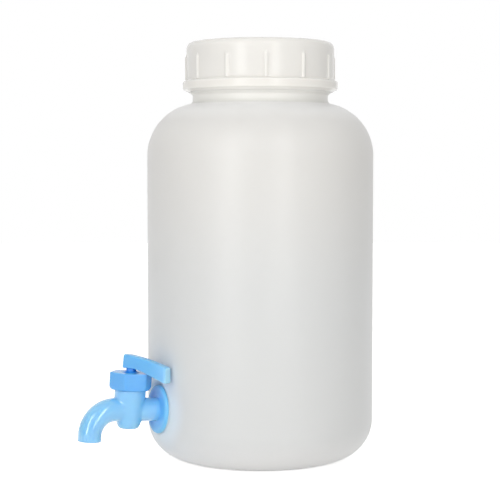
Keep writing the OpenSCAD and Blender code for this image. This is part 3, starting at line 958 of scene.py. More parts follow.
def bottle_outer_profile(bottle):
    """Outer half section of the bottle, from the middle of its base to its rim."""
    foot = bottle.radius - bottle.corner_radius
    inner_foot = foot - bottle.foot_width
    step = 2 * bottle.push_up
    shoulder = (bottle.radius - bottle.shoulder_radius, bottle.shoulder_start)
    fillet_r = bottle.neck_radius + bottle.crease_radius
    reach = bottle.shoulder_radius + bottle.crease_radius
    fillet_z = shoulder[1] + math.sqrt(reach**2 - (fillet_r - shoulder[0]) ** 2)
    turn = math.degrees(math.atan2(fillet_z - shoulder[1], fillet_r - shoulder[0]))
    rim = bottle.rim_rounding
    rim_z = BOTTLE_TOP.z - rim
    bead_low = CAP_LOW.z - bottle.bead_low
    bead_high = CAP_LOW.z + bottle.bead_high
    seat_top = VALVE_POINT.z + SEAT_REACH * bottle.seat_radius
    return np.vstack(
        [
            line((0, bottle.push_up), (inner_foot - step, bottle.push_up), 8),
            smooth_step(inner_foot - step, inner_foot, bottle.push_up, 0, 8),
            line((inner_foot, 0), (foot, 0), 3),
            arc((foot, bottle.corner_radius), bottle.corner_radius, -90, CORNER_SPLIT, 12),
            arc((foot, bottle.corner_radius), bottle.corner_radius, CORNER_SPLIT, 0, 34),
            line((bottle.radius, bottle.corner_radius), (bottle.radius, seat_top), 46),
            line((bottle.radius, seat_top), (bottle.radius, bottle.shoulder_start), 20),
            arc(shoulder, bottle.shoulder_radius, 0, turn, 30),
            arc((fillet_r, fillet_z), bottle.crease_radius, 180 + turn, 180, 5),
            line((bottle.neck_radius, fillet_z), (bottle.neck_radius, bead_low), 3),
            neck_bead(bottle, bead_low),
            line((bottle.neck_radius, bead_high), (bottle.neck_radius, rim_z), 8),
            arc((bottle.neck_radius - rim, rim_z), rim, 0, 90, 5),
        ]
    )


def bottle_inner_profile(bottle):
    """Inner half section of the bottle, from its rim down to the middle of its base."""
    wall = bottle.wall
    foot = bottle.radius - bottle.corner_radius
    inner_foot = foot - bottle.foot_width
    step = 2 * bottle.push_up
    mouth = bottle.neck_radius - bottle.neck_wall
    rim = bottle.rim_rounding
    rim_z = BOTTLE_TOP.z - rim
    shoulder = (bottle.radius - bottle.shoulder_radius, bottle.shoulder_start)
    inner_radius = bottle.shoulder_radius - wall
    turn = math.degrees(math.acos((mouth - shoulder[0]) / inner_radius))
    turn_z = shoulder[1] + inner_radius * math.sin(math.radians(turn))
    seat_top = VALVE_POINT.z + SEAT_REACH * bottle.seat_radius
    side = bottle.radius - wall
    return np.vstack(
        [
            arc((mouth + rim, rim_z), rim, 90, 180, 5),
            line((mouth, rim_z), (mouth, turn_z), 12),
            arc(shoulder, inner_radius, turn, 0, 24),
            line((side, bottle.shoulder_start), (side, seat_top), 20),
            line((side, seat_top), (side, bottle.corner_radius), 40),
            arc((foot, bottle.corner_radius), bottle.corner_radius - wall, 0, CORNER_SPLIT, 26),
            arc((foot, bottle.corner_radius), bottle.corner_radius - wall, CORNER_SPLIT, -90, 10),
            line((foot, wall), (inner_foot, wall), 3),
            smooth_step(inner_foot, inner_foot - step, wall, bottle.push_up + wall, 8),
            line((inner_foot - step, bottle.push_up + wall), (0, bottle.push_up + wall), 8),
            np.array([(0, bottle.push_up + wall)]),
        ]
    )


def bottle_angles(bottle):
    """Angles of the bottle's columns, close together where the spigot sits."""
    half = math.asin(FINE_REACH * bottle.seat_radius / bottle.radius)
    middle = -math.pi / 2
    fine = np.linspace(middle - half, middle + half, FINE_COLUMNS)
    coarse = np.linspace(middle + half, middle - half + 2 * math.pi, COARSE_COLUMNS + 1)[1:-1]
    return np.concatenate([fine, coarse])


def drill(mesh, cutter_mesh):
    """Mesh less a closed cutter."""
    piece = scratch_piece("drilled", mesh)
    cutter = scratch_piece("drill", cutter_mesh)
    cut = piece.modifiers.new("drill", "BOOLEAN")
    cut.operation = "DIFFERENCE"
    cut.solver = "EXACT"
    cut.object = cutter
    result = without_modifiers(piece)
    bpy.data.objects.remove(cutter)
    return result


def shank_drill(settings):
    """Closed cylinder through the bottle's wall on the pipe's axis."""
    bottle = settings.bottle
    mesh = bpy.data.meshes.new("shank drill")
    shape = bmesh.new()
    to_pipe = tap_matrix(settings) @ Matrix.Rotation(math.pi / 2, 4, "X")
    bmesh.ops.create_cone(
        shape,
        cap_ends=True,
        segments=DRILL_SIDES,
        radius1=bottle.hole_radius,
        radius2=bottle.hole_radius,
        depth=4 * bottle.seat_radius,
        matrix=to_pipe,
    )
    shape.to_mesh(mesh)
    shape.free()
    return mesh


class CARBOY_OT_bottle(bpy.types.Operator):
    """Build the blow-moulded bottle with its pressed seat and its drilled wall"""

    bl_idname = "carboy.bottle"
    bl_label = "Bottle"

    def execute(self, context):
        settings = context.scene.carboy
        bottle = settings.bottle
        angles = bottle_angles(bottle)
        outer = turned_points(bottle_outer_profile(bottle), angles)
        inner = turned_points(bottle_inner_profile(bottle), angles)
        outer = press_seat(settings, outer, bottle.seat_depth, bottle.seat_radius)
        inner_edge = bottle.seat_radius + INNER_FLARE * bottle.wall
        inner = press_seat(settings, inner, bottle.seat_depth + bottle.wall, inner_edge)
        mesh = turned_mesh("bottle", np.concatenate([outer, inner], axis=1))
        mesh = drill(mesh, shank_drill(settings))
        material = milky_plastic(settings)
        finish_piece("bottle_shell", mesh, "bottle", material, ["bottle"], SHARP_EDGE)
        return {"FINISHED"}


# ---- screw threads ----

HELIX_STEPS = 160
RUN_OUT = 0.07
THREAD_SUNK = 0.5 * MM
THREAD_EDGE = 0.3 * MM
THREAD_SHARP_EDGE = 0.6


def end_tree(tree, geometry, material):
    """Ends a geometry nodes tree in plain geometry with its material."""
    real = add_node(tree, "GeometryNodeRealizeInstances", {0: geometry}).outputs[0]
    painted = add_node(tree, "GeometryNodeSetMaterial", {"Geometry": real, "Material": material})
    add_node(tree, "NodeGroupOutput", {0: painted.outputs[0]})
    return tree


def run_out_curve(tree, share):
    """Size of a thread along its length: it grows from nothing and ends in nothing."""
    taper = add_node(tree, "ShaderNodeFloatCurve", {"Value": share})
    points = taper.mapping.curves[0].points
    points[0].location = (0.0, 0.0)
    points[1].location = (1.0, 0.0)
    points.new(RUN_OUT, 1.0)
    points.new(1 - RUN_OUT, 1.0)
    taper.mapping.update()
    return taper.outputs["Value"]


def thread_tree():
    """Geometry nodes that sweep a thread's section along helices that start evenly round the neck."""
    inputs = {
        "Section": "Geometry",
        "Radius": "Float",
        "Lead": "Float",
        "Turns": "Float",
        "Starts": "Int",
        "Bottom": "Float",
        "Material": "Material",
    }
    tree = new_group("thread", "GeometryNodeTree", inputs, {"Geometry": "Geometry"})
    given = add_node(tree, "NodeGroupInput").outputs
    right_handed_helix = {
        "Resolution": HELIX_STEPS,
        "Rotations": given["Turns"],
        "Start Radius": given["Radius"],
        "End Radius": given["Radius"],
        "Height": maths(tree, "MULTIPLY", given["Turns"], given["Lead"]),
        "Reverse": True,
    }
    helix = add_node(tree, "GeometryNodeCurveSpiral", right_handed_helix).outputs["Curve"]
    upright = add_node(tree, "GeometryNodeSetCurveNormal", {"Curve": helix}, mode="Z_UP")
    share = add_node(tree, "GeometryNodeSplineParameter").outputs["Factor"]
    section_sweep = {
        "Curve": upright.outputs["Curve"],
        "Profile Curve": given["Section"],
        "Scale": run_out_curve(tree, share),
        "Fill Caps": True,
    }
    sweep = add_node(tree, "GeometryNodeCurveToMesh", section_sweep).outputs["Mesh"]
    place = add_node(tree, "ShaderNodeCombineXYZ", {"Z": given["Bottom"]}).outputs[0]
    spots = add_node(tree, "GeometryNodePoints", {"Count": given["Starts"], "Position": place})
    index = add_node(tree, "GeometryNodeInputIndex").outputs[0]
    angle = maths(tree, "MULTIPLY", index, maths(tree, "DIVIDE", 2 * math.pi, given["Starts"]))
    spin = add_node(tree, "ShaderNodeCombineXYZ", {"Z": angle}).outputs[0]
    copies = add_node(
        tree,
        "GeometryNodeInstanceOnPoints",
        {"Points": spots.outputs[0], "Instance": sweep, "Rotation": spin},
    )
    return end_tree(tree, copies.outputs[0], given["Material"])


def set_inputs(modifier, values):
    """Sets a geometry nodes modifier's inputs by their sockets' identifiers."""
    for item in modifier.node_group.interface.items_tree:
        if item.item_type == "SOCKET" and item.in_out == "INPUT" and item.name in values:
            modifier[item.identifier] = values[item.name]


def thread_section(thread, outward):
    """Closed curve across a thread: its foot is sunk in the wall that carries it."""
    curve = bpy.data.curves.new("thread section", "CURVE")
    curve.dimensions = "2D"
    spline = curve.splines.new("POLY")
    sunk, edge = THREAD_SUNK, THREAD_EDGE
    half_base = thread.base / 2
    half_crest = thread.crest / 2
    section = [
        (-sunk, half_base),
        (0, half_base),
        (thread.height - edge, half_crest),
        (thread.height, half_crest - edge),
        (thread.height, edge - half_crest),
        (thread.height - edge, -half_crest),
        (0, -half_base),
        (-sunk, -half_base),
    ]
    spline.points.add(len(section) - 1)
    for point, (out, up) in zip(spline.points, section):
        point.co = (out if outward else -out, up, 0, 1)
    spline.use_cyclic_u = True
    piece = bpy.data.objects.new("thread section", curve)
    bpy.context.scene.collection.objects.link(piece)
    return piece


def thread_mesh(thread, radius, bottom, outward, material):
    """Mesh of the neck's or the cap's thread."""
    piece = thread_section(thread, outward)
    modifier = piece.modifiers.new("thread", "NODES")
    modifier.node_group = thread_tree()
    set_inputs(
        modifier,
        {
            "Radius": radius,
            "Lead": thread.lead,
            "Turns": thread.turns,
            "Starts": thread.starts,
            "Bottom": bottom,
            "Material": material,
        },
    )
    mesh = without_modifiers(piece)
    weld(mesh)
    return mesh


class CARBOY_OT_threads(bpy.types.Operator):
    """Build the screw threads on the neck and inside the cap"""

    bl_idname = "carboy.threads"
    bl_label = "Threads"

    def execute(self, context):
        settings = context.scene.carboy
        thread = settings.thread
        rise = thread.lead * thread.turns
        bottom = BOTTLE_TOP.z - thread.start_depth - rise
        milky, ivory = milky_plastic(settings), ivory_plastic(settings)
        neck = thread_mesh(thread, settings.bottle.neck_radius, bottom, True, milky)
        finish_piece("neck_thread", neck, "bottle", milky, sharp=THREAD_SHARP_EDGE)
        inside = settings.cap.radius - settings.cap.wall
        pitch = thread.lead / thread.starts
        cap = thread_mesh(thread, inside, bottom - pitch / 2, False, ivory)
        finish_piece("cap_thread", cap, "cap", ivory, sharp=THREAD_SHARP_EDGE)
        return {"FINISHED"}


# ---- cap ----

CAP_COLUMNS = 600
WALL_MATCH = 0.1 * MM
SMOOTH_MAX_LIFT = 6.0  # a smooth maximum of two equal values lies a sixth of its reach above them


def cap_profile(cap):
    """Closed half section of the cap without ribs, from the middle of its top."""
    top = CAP_TOP.z
    low = CAP_LOW.z
    band = CAP_TOP.x
    skirt = cap.radius - cap.wall
    round_z = top - cap.top_rounding
    round_r = cap.radius - cap.top_rounding
    band_low = low + cap.band_lip
    band_top = band_low + cap.band_height
    edge = cap.band_rounding
    fillet = cap.band_fillet
    ceiling = top - cap.plate
    lip_slope = math.degrees(math.atan2(cap.band_lip, band - skirt))
    return np.vstack(
        [
            line((0, top - cap.gate_depth), (cap.gate_radius, top - cap.gate_depth), 4),
            line((cap.gate_radius + cap.gate_depth, top), (round_r, top), 10),
            arc((round_r, round_z), cap.top_rounding, 90, 0, 14),
            line((cap.radius, round_z), (cap.radius, band_top + fillet), 44),
            arc((cap.radius + fillet, band_top + fillet), fillet, 180, 270, 5),
            arc((band - edge, band_top - edge), edge, 90, 0, 5),
            line((band, band_top - edge), (band, band_low + edge), 4),
            arc((band - edge, band_low + edge), edge, 0, lip_slope - 90, 5),
            line((band - edge, band_low), (skirt + edge / 2, low), 5),
            arc((skirt + edge / 2, low + edge / 2), edge / 2, 270, 180, 3),
            line((skirt, low + edge / 2), (skirt, ceiling - edge), 12),
            arc((skirt - edge, ceiling - edge), edge, 0, 90, 4),
            line((skirt - edge, ceiling), (0, ceiling), 10),
            np.array([(0, ceiling)]),
        ]
    )


def rib_tree():
    """Geometry nodes that raise half-round ribs with soft feet from the side wall of a cap."""
    inputs = {
        "Geometry": "Geometry",
        "Count": "Int",
        "Turn": "Float",
        "Wall Radius": "Float",
        "Rib Radius": "Float",
        "Fillet": "Float",
        "Top": "Float",
        "Tip": "Float",
        "Bottom": "Float",
        "Material": "Material",
    }
    tree = new_group("grip ribs", "GeometryNodeTree", inputs, {"Geometry": "Geometry"})
    given = add_node(tree, "NodeGroupInput").outputs
    calc = partial(maths, tree)
    place = add_node(tree, "GeometryNodeInputPosition").outputs[0]
    x, y, z = add_node(tree, "ShaderNodeSeparateXYZ", {0: place}).outputs
    angle = calc("SUBTRACT", calc("ARCTAN2", y, x), given["Turn"])
    half_sector = calc("DIVIDE", math.pi, given["Count"])
    across_angle = calc("WRAP", angle, half_sector, calc("MULTIPLY", half_sector, -1.0))
    across = calc("MULTIPLY", across_angle, given["Wall Radius"])
    fade = calc("DIVIDE", calc("SUBTRACT", given["Top"], z), given["Tip"])
    fade = calc("MINIMUM", calc("MAXIMUM", fade, 0.0), 1.0)
    radius = calc("MULTIPLY", given["Rib Radius"], fade)
    under = calc("SUBTRACT", calc("MULTIPLY", radius, radius), calc("MULTIPLY", across, across))
    round_height = calc("SQRT", calc("MAXIMUM", under, 0.0))
    beyond = calc("MAXIMUM", calc("SUBTRACT", calc("ABSOLUTE", across), radius), 0.0)
    height = calc("SMOOTH_MAX", calc("SUBTRACT", round_height, beyond), 0.0, given["Fillet"])
    lift = calc("DIVIDE", given["Fillet"], SMOOTH_MAX_LIFT)
    height = calc("MAXIMUM", calc("SUBTRACT", height, lift), 0.0)
    height = calc("MULTIPLY", height, calc("GREATER_THAN", fade, 0.0))
    reach = calc("SQRT", calc("ADD", calc("MULTIPLY", x, x), calc("MULTIPLY", y, y)))
    on_wall = calc("COMPARE", reach, given["Wall Radius"], WALL_MATCH)
    on_wall = calc("MULTIPLY", on_wall, calc("GREATER_THAN", z, given["Bottom"]))
    height = calc("MULTIPLY", height, on_wall)
    flat = add_node(tree, "ShaderNodeCombineXYZ", {"X": x, "Y": y}).outputs[0]
    outward = vector_maths(tree, "NORMALIZE", flat)
    offset = add_node(tree, "ShaderNodeVectorMath", {0: outward, "Scale": height}, operation="SCALE")
    move = add_node(
        tree, "GeometryNodeSetPosition", {"Geometry": given["Geometry"], "Offset": offset.outputs[0]}
    )
    return end_tree(tree, move.outputs[0], given["Material"])


class CARBOY_OT_cap(bpy.types.Operator):
    """Build the screw cap with its grip ribs and band, and finish its sealing disc"""

    bl_idname = "carboy.cap"
    bl_label = "Cap"

    def execute(self, context):
        settings = context.scene.carboy
        cap = settings.cap
        material = ivory_plastic(settings)
        points = turned_points(cap_profile(cap), even_angles(CAP_COLUMNS))
        piece = scratch_piece("cap turned", turned_mesh("cap", points))
        modifier = piece.modifiers.new("ribs", "NODES")
        modifier.node_group = rib_tree()
        set_inputs(
            modifier,
            {
                "Count": cap.rib_count,
                "Turn": cap.rib_turn,
                "Wall Radius": cap.radius,
                "Rib Radius": cap.rib_radius,
                "Fillet": cap.rib_fillet,
                "Top": CAP_TOP.z - cap.rib_top,
                "Tip": cap.rib_tip,
                "Bottom": CAP_LOW.z + cap.band_height,
                "Material": material,
            },
        )
        mesh = without_modifiers(piece)
        finish_piece("cap_shell", mesh, "cap", material, ["cap"], SHARP_EDGE)
        dress_node("cap_liner", liner_foam(settings))
        return {"FINISHED"}


def dress_node(name, material):
    """Gives a CAD node its finish."""
    node = frame["nodes"][name]
    node.data.materials.clear()
    node.data.materials.append(material)


# ---- spigot body ----

FLANGE_DRUM = 2.4  # depth of the drum that the flange is cut from, in roundings
CUP_SLOPE_SHARE = 0.7  # share of the cup's height over which its side would lean in to its radius


def spout_distance(spigot, across, out, up):
    """Distance from the spout's middle line: level, a quarter bend, then down."""
    bend_out = spigot.valve_out + spigot.spout_out - spigot.spout_bend
    bend_up = -spigot.spout_bend
    level = np.hypot(
        np.hypot(across, up),
        np.maximum(out - bend_out, 0) + np.maximum(spigot.valve_out - out, 0),
    )
    down = np.hypot(
        np.hypot(across, out - bend_out - spigot.spout_bend), np.maximum(up - bend_up, 0)
    )
    ring = np.hypot(np.hypot(out - bend_out, up - bend_up) - spigot.spout_bend, across)
    on_bend = (out > bend_out) & (up > bend_up)
    return np.where(on_bend, ring, np.minimum(level, down))


def plug_radius_at(valve, up):
    """Radius of the plug's taper at a height."""
    return valve.plug_radius + up * math.tan(valve.plug_taper)


def spigot_field(settings):
    """Distance field of the spigot's body in the spigot's own frame."""
    spigot, valve = settings.spigot, settings.valve
    face = flange_face(settings)
    back = face - spigot.flange_thickness

    def field(points):
        across, out, up = points[:, 0], -points[:, 1], points[:, 2]
        pipe_radial = np.hypot(across, up)
        valve_radial = np.hypot(across, out - spigot.valve_out)
        spout = spout_distance(spigot, across, out, up)
        inner_end = -spigot.shank_length
        shank = rounded_drum(pipe_radial, out, spigot.shank_radius, inner_end, face, spigot.edge)
        rounding = spigot.flange_rounding
        drum_back = face - FLANGE_DRUM * rounding
        flange = rounded_drum(pipe_radial, out, spigot.flange_radius, drum_back, face, rounding)
        flange = smooth_overlap(flange, back - out, spigot.edge)
        pipe = np.maximum(pipe_radial - spigot.pipe_radius, slab(out, 0, spigot.valve_out))
        low_radius = spigot.barrel_low_radius
        slope = (spigot.barrel_radius - low_radius) / (spigot.barrel_low + spigot.barrel_high)
        above = np.minimum(up, spigot.barrel_high) + spigot.barrel_low
        side = valve_radial - low_radius - slope * above
        lean = (low_radius - spigot.cup_radius) / (CUP_SLOPE_SHARE * spigot.cup_height)
        cup = valve_radial - low_radius - lean * (up + spigot.barrel_low)
        cup = cup / math.hypot(1, lean)
        barrel = smooth_overlap(side, cup, 2 * spigot.edge)
        cup_end = -spigot.barrel_low - spigot.cup_height
        barrel = smooth_overlap(barrel, cup_end - up, spigot.cup_rounding)
        barrel = smooth_overlap(barrel, up - valve.nut_low, spigot.edge)
        collar = rounded_drum(
            valve_radial, up, valve.collar_radius, spigot.barrel_high, spigot.barrel_top, spigot.edge
        )
        outlet = -spigot.outlet_drop - up
        tube = smooth_overlap(spout - spigot.spout_radius, outlet, spigot.edge)
        solid = np.minimum(barrel, collar)
        solid = smooth_union(solid, tube, spigot.fillet)
        solid = smooth_union(solid, pipe, spigot.fillet)
        mount = np.minimum(shank, flange)
        solid = smooth_union(solid, mount, spigot.fillet / 2)
        bore = np.maximum(pipe_radial - spigot.bore_radius, out - spigot.valve_out)
        water = np.minimum(bore, spout - spigot.bore_radius)
        solid = smooth_cut(solid, water, spigot.edge)
        seat = valve_radial - plug_radius_at(valve, up) - valve.plug_gap
        seat = np.maximum(seat, -valve.plug_low - 2 * valve.plug_gap - up)
        return smooth_cut(solid, seat, spigot.edge / 2)

    return field


class CARBOY_OT_spigot(bpy.types.Operator):
    """Build the spigot's body: shank, flange, pipe, barrel and bent spout in one moulding"""

    bl_idname = "carboy.spigot"
    bl_label = "Spigot body"

    def execute(self, context):
        settings = context.scene.carboy
        spigot = settings.spigot
        side = spigot.flange_radius + MARGIN
        front = spigot.valve_out + spigot.spout_out + spigot.spout_radius + MARGIN
        low = (-side, -front, -spigot.outlet_drop - MARGIN)
        high = (side, spigot.shank_length + MARGIN, spigot.barrel_top + MARGIN)
        mesh = field_mesh("spigot body", spigot_field(settings), low, high, BODY_STEP)
        mesh.transform(tap_matrix(settings))
        finish_piece("spigot_shell", mesh, "bottle", sky_plastic(settings), ["spigot_body"])
        return {"FINISHED"}


# ---- bonnet nut, plug and lever ----

CORNER_STRETCH = 1 / math.cos(math.radians(30))
NUT_TOP_SHARE = 0.8
CAVITY_EDGE = 0.3 * MM
PLUG_EDGE = 0.4 * MM
CONE_BLEND = 0.8 * MM
LEVER_LOW_EDGE = 0.5 * MM
LEVER_OPENING = 3 * MM
LEVER_CORNER_SHARE = 1.3
SOCKET_GAP = 0.05 * MM
RIB_PLACES = (1 / 3, 2 / 3)


def hexagon(across, out, flats, turn):
    """Distances to the six faces of a hexagonal prism."""
    sides = []
    for corner in range(6):
        angle = turn + math.radians(30 + 60 * corner)
        sides.append(out * math.cos(angle) + across * math.sin(angle) - flats / 2)
    return sides


def nut_field(settings):
    """Distance field of the bonnet nut about the valve's axis."""
    valve = settings.valve
    top = valve.nut_low + valve.nut_height
    corner = valve.nut_flats / 2 * CORNER_STRETCH

    def field(points):
        across, out, up = points[:, 0], -points[:, 1], points[:, 2]
        radial = np.hypot(across, out)
        lean = (corner - valve.nut_flats / 2) / valve.nut_chamfer
        under = radial - valve.nut_flats / 2 - (up - valve.nut_low) * lean
        under = under / math.hypot(1, lean)
        sides = overlap_all(hexagon(across, out, valve.nut_flats, valve.nut_turn), valve.nut_rounding)
        solid = smooth_overlap(sides, under, valve.nut_rounding)
        solid = smooth_overlap(solid, slab(up, valve.nut_low, top), NUT_TOP_SHARE * valve.nut_rounding)
        ceiling = top - valve.nut_plate
        cavity = np.maximum(radial - valve.collar_radius - valve.collar_gap, up - ceiling)
        hole = radial - valve.stem_radius - valve.running_gap
        solid = smooth_cut(solid, cavity, CAVITY_EDGE)
        return smooth_cut(solid, hole, PLUG_EDGE)

    return field


def plug_field(settings):
    """Distance field of the plug, its stem and its square tang about the valve's axis."""
    valve, lever = settings.valve, settings.lever
    nut_top = valve.nut_low + valve.nut_height
    cone_top = nut_top + valve.cone_height
    tang_top = cone_top + lever.gap + valve.tang_height

    def field(points):
        across, out, up = points[:, 0], -points[:, 1], points[:, 2]
        radial = np.hypot(across, out)
        edge = PLUG_EDGE
        plug = (radial - plug_radius_at(valve, up)) * math.cos(valve.plug_taper)
        plug = smooth_overlap(plug, slab(up, -valve.plug_low, valve.plug_high), edge)
        stem = rounded_drum(radial, up, valve.stem_radius, 0, nut_top, edge / 4)
        lean = (valve.stem_radius - valve.neck_radius) / valve.cone_height
        cone = (radial - valve.stem_radius + (up - nut_top) * lean) / math.hypot(1, lean)
        cone = np.maximum(cone, slab(up, nut_top - edge, cone_top))
        neck = rounded_drum(radial, up, valve.neck_radius, 0, cone_top + lever.gap, edge / 4)
        turn = lever.turn
        first = np.abs(out * math.cos(turn) + across * math.sin(turn)) - valve.tang_width / 2
        second = np.abs(across * math.cos(turn) - out * math.sin(turn)) - valve.tang_width / 2
        tang = overlap_all([first, second, slab(up, 0, tang_top)], edge)
        solid = np.minimum(np.minimum(plug, stem), tang)
        solid = smooth_union(solid, smooth_union(cone, neck, CONE_BLEND), edge / 2)
        port = np.hypot(out, up) - valve.port_radius
        return smooth_cut(solid, port, edge)

    return field


def lever_field(settings):
    """Distance field of the hollow lever, which reaches along +X from the valve's axis."""
    valve, lever = settings.valve, settings.lever
    low = valve.nut_low + valve.nut_height + valve.cone_height + lever.gap
    top = low + lever.height
    tip_low = low - (lever.reach - lever.knee) * math.tan(lever.under_slope)

    def outline(along, across, up, inset):
        level = top - up - inset
        sloped = top - up - (along - lever.level) * math.tan(lever.slope)
        sloped = sloped * math.cos(lever.slope) - inset
        over = smooth_overlap(-level, -sloped, lever.bend)
        dropped = low - up - (along - lever.knee) * math.tan(lever.under_slope)
        dropped = dropped * math.cos(lever.under_slope)
        under = smooth_union(low - up, dropped, lever.rounding) - (LEVER_OPENING if inset else 0)
        spread = lever.draft * np.clip((top - up) / (top - tip_low), 0, 1)
        side = np.abs(across) - (lever.width / 2 - lever.draft + spread - inset)
        back = -along - (lever.back - lever.draft + spread - inset)
        tip = along - (lever.reach - lever.draft + spread - inset)
        walls = overlap_all([side, back, tip], lever.rounding * LEVER_CORNER_SHARE)
        walls = smooth_overlap(walls, over, lever.rounding)
        return smooth_overlap(walls, under, LEVER_LOW_EDGE)

    def field(points):
        along, across, up = points[:, 0], points[:, 1], points[:, 2]
        shell = outline(along, across, up, 0)
        hollow = outline(along, across, up, lever.wall)
        boss_end = valve.neck_radius + lever.wall / 2
        kept = along - boss_end
        for share in RIB_PLACES:
            middle = boss_end + share * (lever.reach - boss_end)
            kept = np.minimum(kept, np.abs(along - middle) - lever.rib / 2)
        hollow = smooth_cut(hollow, kept, PLUG_EDGE)
        solid = smooth_cut(shell, hollow, PLUG_EDGE)
        half = valve.tang_width / 2 + SOCKET_GAP
        socket = np.maximum(np.abs(along), np.abs(across)) - half
        socket = np.maximum(socket, up - low - valve.tang_height)
        return smooth_cut(solid, socket, CAVITY_EDGE)

    return field


class CARBOY_OT_valve(bpy.types.Operator):
    """Build the bonnet nut, the plug with its stem, and the lever"""

    bl_idname = "carboy.valve"
    bl_label = "Valve"

    def execute(self, context):
        settings = context.scene.carboy
        valve, lever = settings.valve, settings.lever
        corner = valve.nut_flats / 2 * CORNER_STRETCH + MARGIN
        nut_top = valve.nut_low + valve.nut_height
        low = (-corner, -corner, valve.nut_low - MARGIN)
        high = (corner, corner, nut_top + MARGIN)
        nut = field_mesh("bonnet nut", nut_field(settings), low, high, FINE_STEP)
        nut.transform(at_valve(settings))
        finish_piece("bonnet_nut_shell", nut, "bottle", nut_plastic(settings), ["bonnet_nut"])
        side = plug_radius_at(valve, valve.plug_high) + MARGIN
        lever_low = nut_top + valve.cone_height + lever.gap
        low = (-side, -side, -valve.plug_low - MARGIN)
        high = (side, side, lever_low + valve.tang_height + MARGIN)
        plug = field_mesh("plug", plug_field(settings), low, high, FINE_STEP)
        plug.transform(at_valve(settings))
        finish_piece("plug_shell", plug, "valve", stem_plastic(settings), ["plug"])
        drop = (lever.reach - lever.knee) * math.tan(lever.under_slope)
        half_width = lever.width / 2 + MARGIN
        low = (-lever.back - MARGIN, -half_width, lever_low - drop - 2 * MARGIN)
        high = (lever.reach + MARGIN, half_width, lever_low + lever.height + MARGIN)
        handle = field_mesh("lever", lever_field(settings), low, high, FINE_STEP)
        handle.transform(at_lever(settings))
        finish_piece("lever_shell", handle, "valve", lever_plastic(settings), ["lever"])
        return {"FINISHED"}


# ---- seals ----

GASKET_COLUMNS = 128
GASKET_SHARP_EDGE = 0.8


def gasket_profile(inner, outer, low, high):
    """Closed section of a flat gasket whose outer edge bulges from being clamped."""
    middle = (low + high) / 2
    half = (high - low) / 2
    return np.vstack(
        [
            line((inner, high), (outer - half, high), 3),
            arc((outer - half, middle), half, 90, -90, 8),
            line((outer - half, low), (inner, low), 3),
            line((inner, low), (inner, high), 2),
        ]
    )


class CARBOY_OT_seals(bpy.types.Operator):
    """Finish the gaskets, the lock nut and the thrust ring"""

    bl_idname = "carboy.seals"
    bl_label = "Seals and lock nut"

    def execute(self, context):
        settings = context.scene.carboy
        bottle, spigot = settings.bottle, settings.spigot
        back = -bottle.seat_depth
        profile = gasket_profile(bottle.hole_radius, spigot.flange_radius, back, back + spigot.gasket)
        mesh = turned_mesh("outer gasket", turned_points(profile, even_angles(GASKET_COLUMNS)))
        mesh.transform(tap_matrix(settings) @ Matrix.Rotation(math.pi / 2, 4, "X"))
        rubber = gasket_rubber(settings)
        finish_piece(
            "gasket_ring", mesh, "bottle", rubber, ["outer_gasket"], GASKET_SHARP_EDGE
        )
        dress_node("inner_gasket", rubber)
        dress_node("lock_nut", sky_plastic(settings))
        dress_node("thrust_ring", ring_plastic(settings))
        return {"FINISHED"}


# ---- stage ----

FLOOR_SIDES = 64
FLOOR_ROUGHNESS = 0.9
SENSOR_WIDTH = 36.0


def seen_directly(tree):
    """Socket that is 1 for what the camera sees itself, in a reflection or through glass."""
    path = add_node(tree, "ShaderNodeLightPath").outputs
    mirrored = maths(tree, "MAXIMUM", path["Is Glossy Ray"], path["Is Transmission Ray"])
    return maths(tree, "MAXIMUM", path["Is Camera Ray"], mirrored)


def white_for_camera(name, base, share):
    """Pale floor that is lifted to white where it is seen directly, and keeps its shadows."""
    material = bpy.data.materials.new(name)
    material.use_nodes = True
    tree = material.node_tree
    inputs = {
        "Base Color": (base, base, base, 1),
        "Roughness": FLOOR_ROUGHNESS,
        "Specular IOR Level": 0.0,
        "Emission Color": (1, 1, 1, 1),
        "Emission Strength": maths(tree, "MULTIPLY", seen_directly(tree), share),
    }
    fill_inputs(tree, tree.nodes["Principled BSDF"], inputs)
    return material


def make_world(stage):
    """White light with dim sides, and a plain white background past the object."""
    world = bpy.data.worlds.new("studio")
    bpy.context.scene.world = world
    world.use_nodes = True
    tree = world.node_tree
    sky = {"Value": seen_directly(tree), "To Min": stage.sky, "To Max": 1.0}
    strength = add_node(tree, "ShaderNodeMapRange", sky).outputs["Result"]
    direction = add_node(tree, "ShaderNodeTexCoord").outputs["Generated"]
    side_azimuth = stage.camera_azimuth + math.pi / 2 + stage.side_turn
    sideways = vector_maths(tree, "DOT_PRODUCT", direction, round_place(side_azimuth, 1, 0))
    dim_sides = {
        "Value": maths(tree, "ABSOLUTE", sideways),
        "From Min": stage.side_start,
        "To Min": 1.0,
        "To Max": 1 - stage.side_shade,
    }
    kept = add_node(tree, "ShaderNodeMapRange", dim_sides, interpolation_type="SMOOTHSTEP")
    past_object = add_node(tree, "ShaderNodeLightPath").outputs["Is Camera Ray"]
    share = maths(tree, "MAXIMUM", kept.outputs["Result"], past_object)
    light = {"Color": (1, 1, 1, 1), "Strength": maths(tree, "MULTIPLY", strength, share)}
    fill_inputs(tree, tree.nodes["Background"], light)


def round_place(azimuth, distance, height):
    """Point at an azimuth round the bottle's axis, where 0 looks along +Y."""
    return Vector((distance * math.sin(azimuth), -distance * math.cos(azimuth), height))


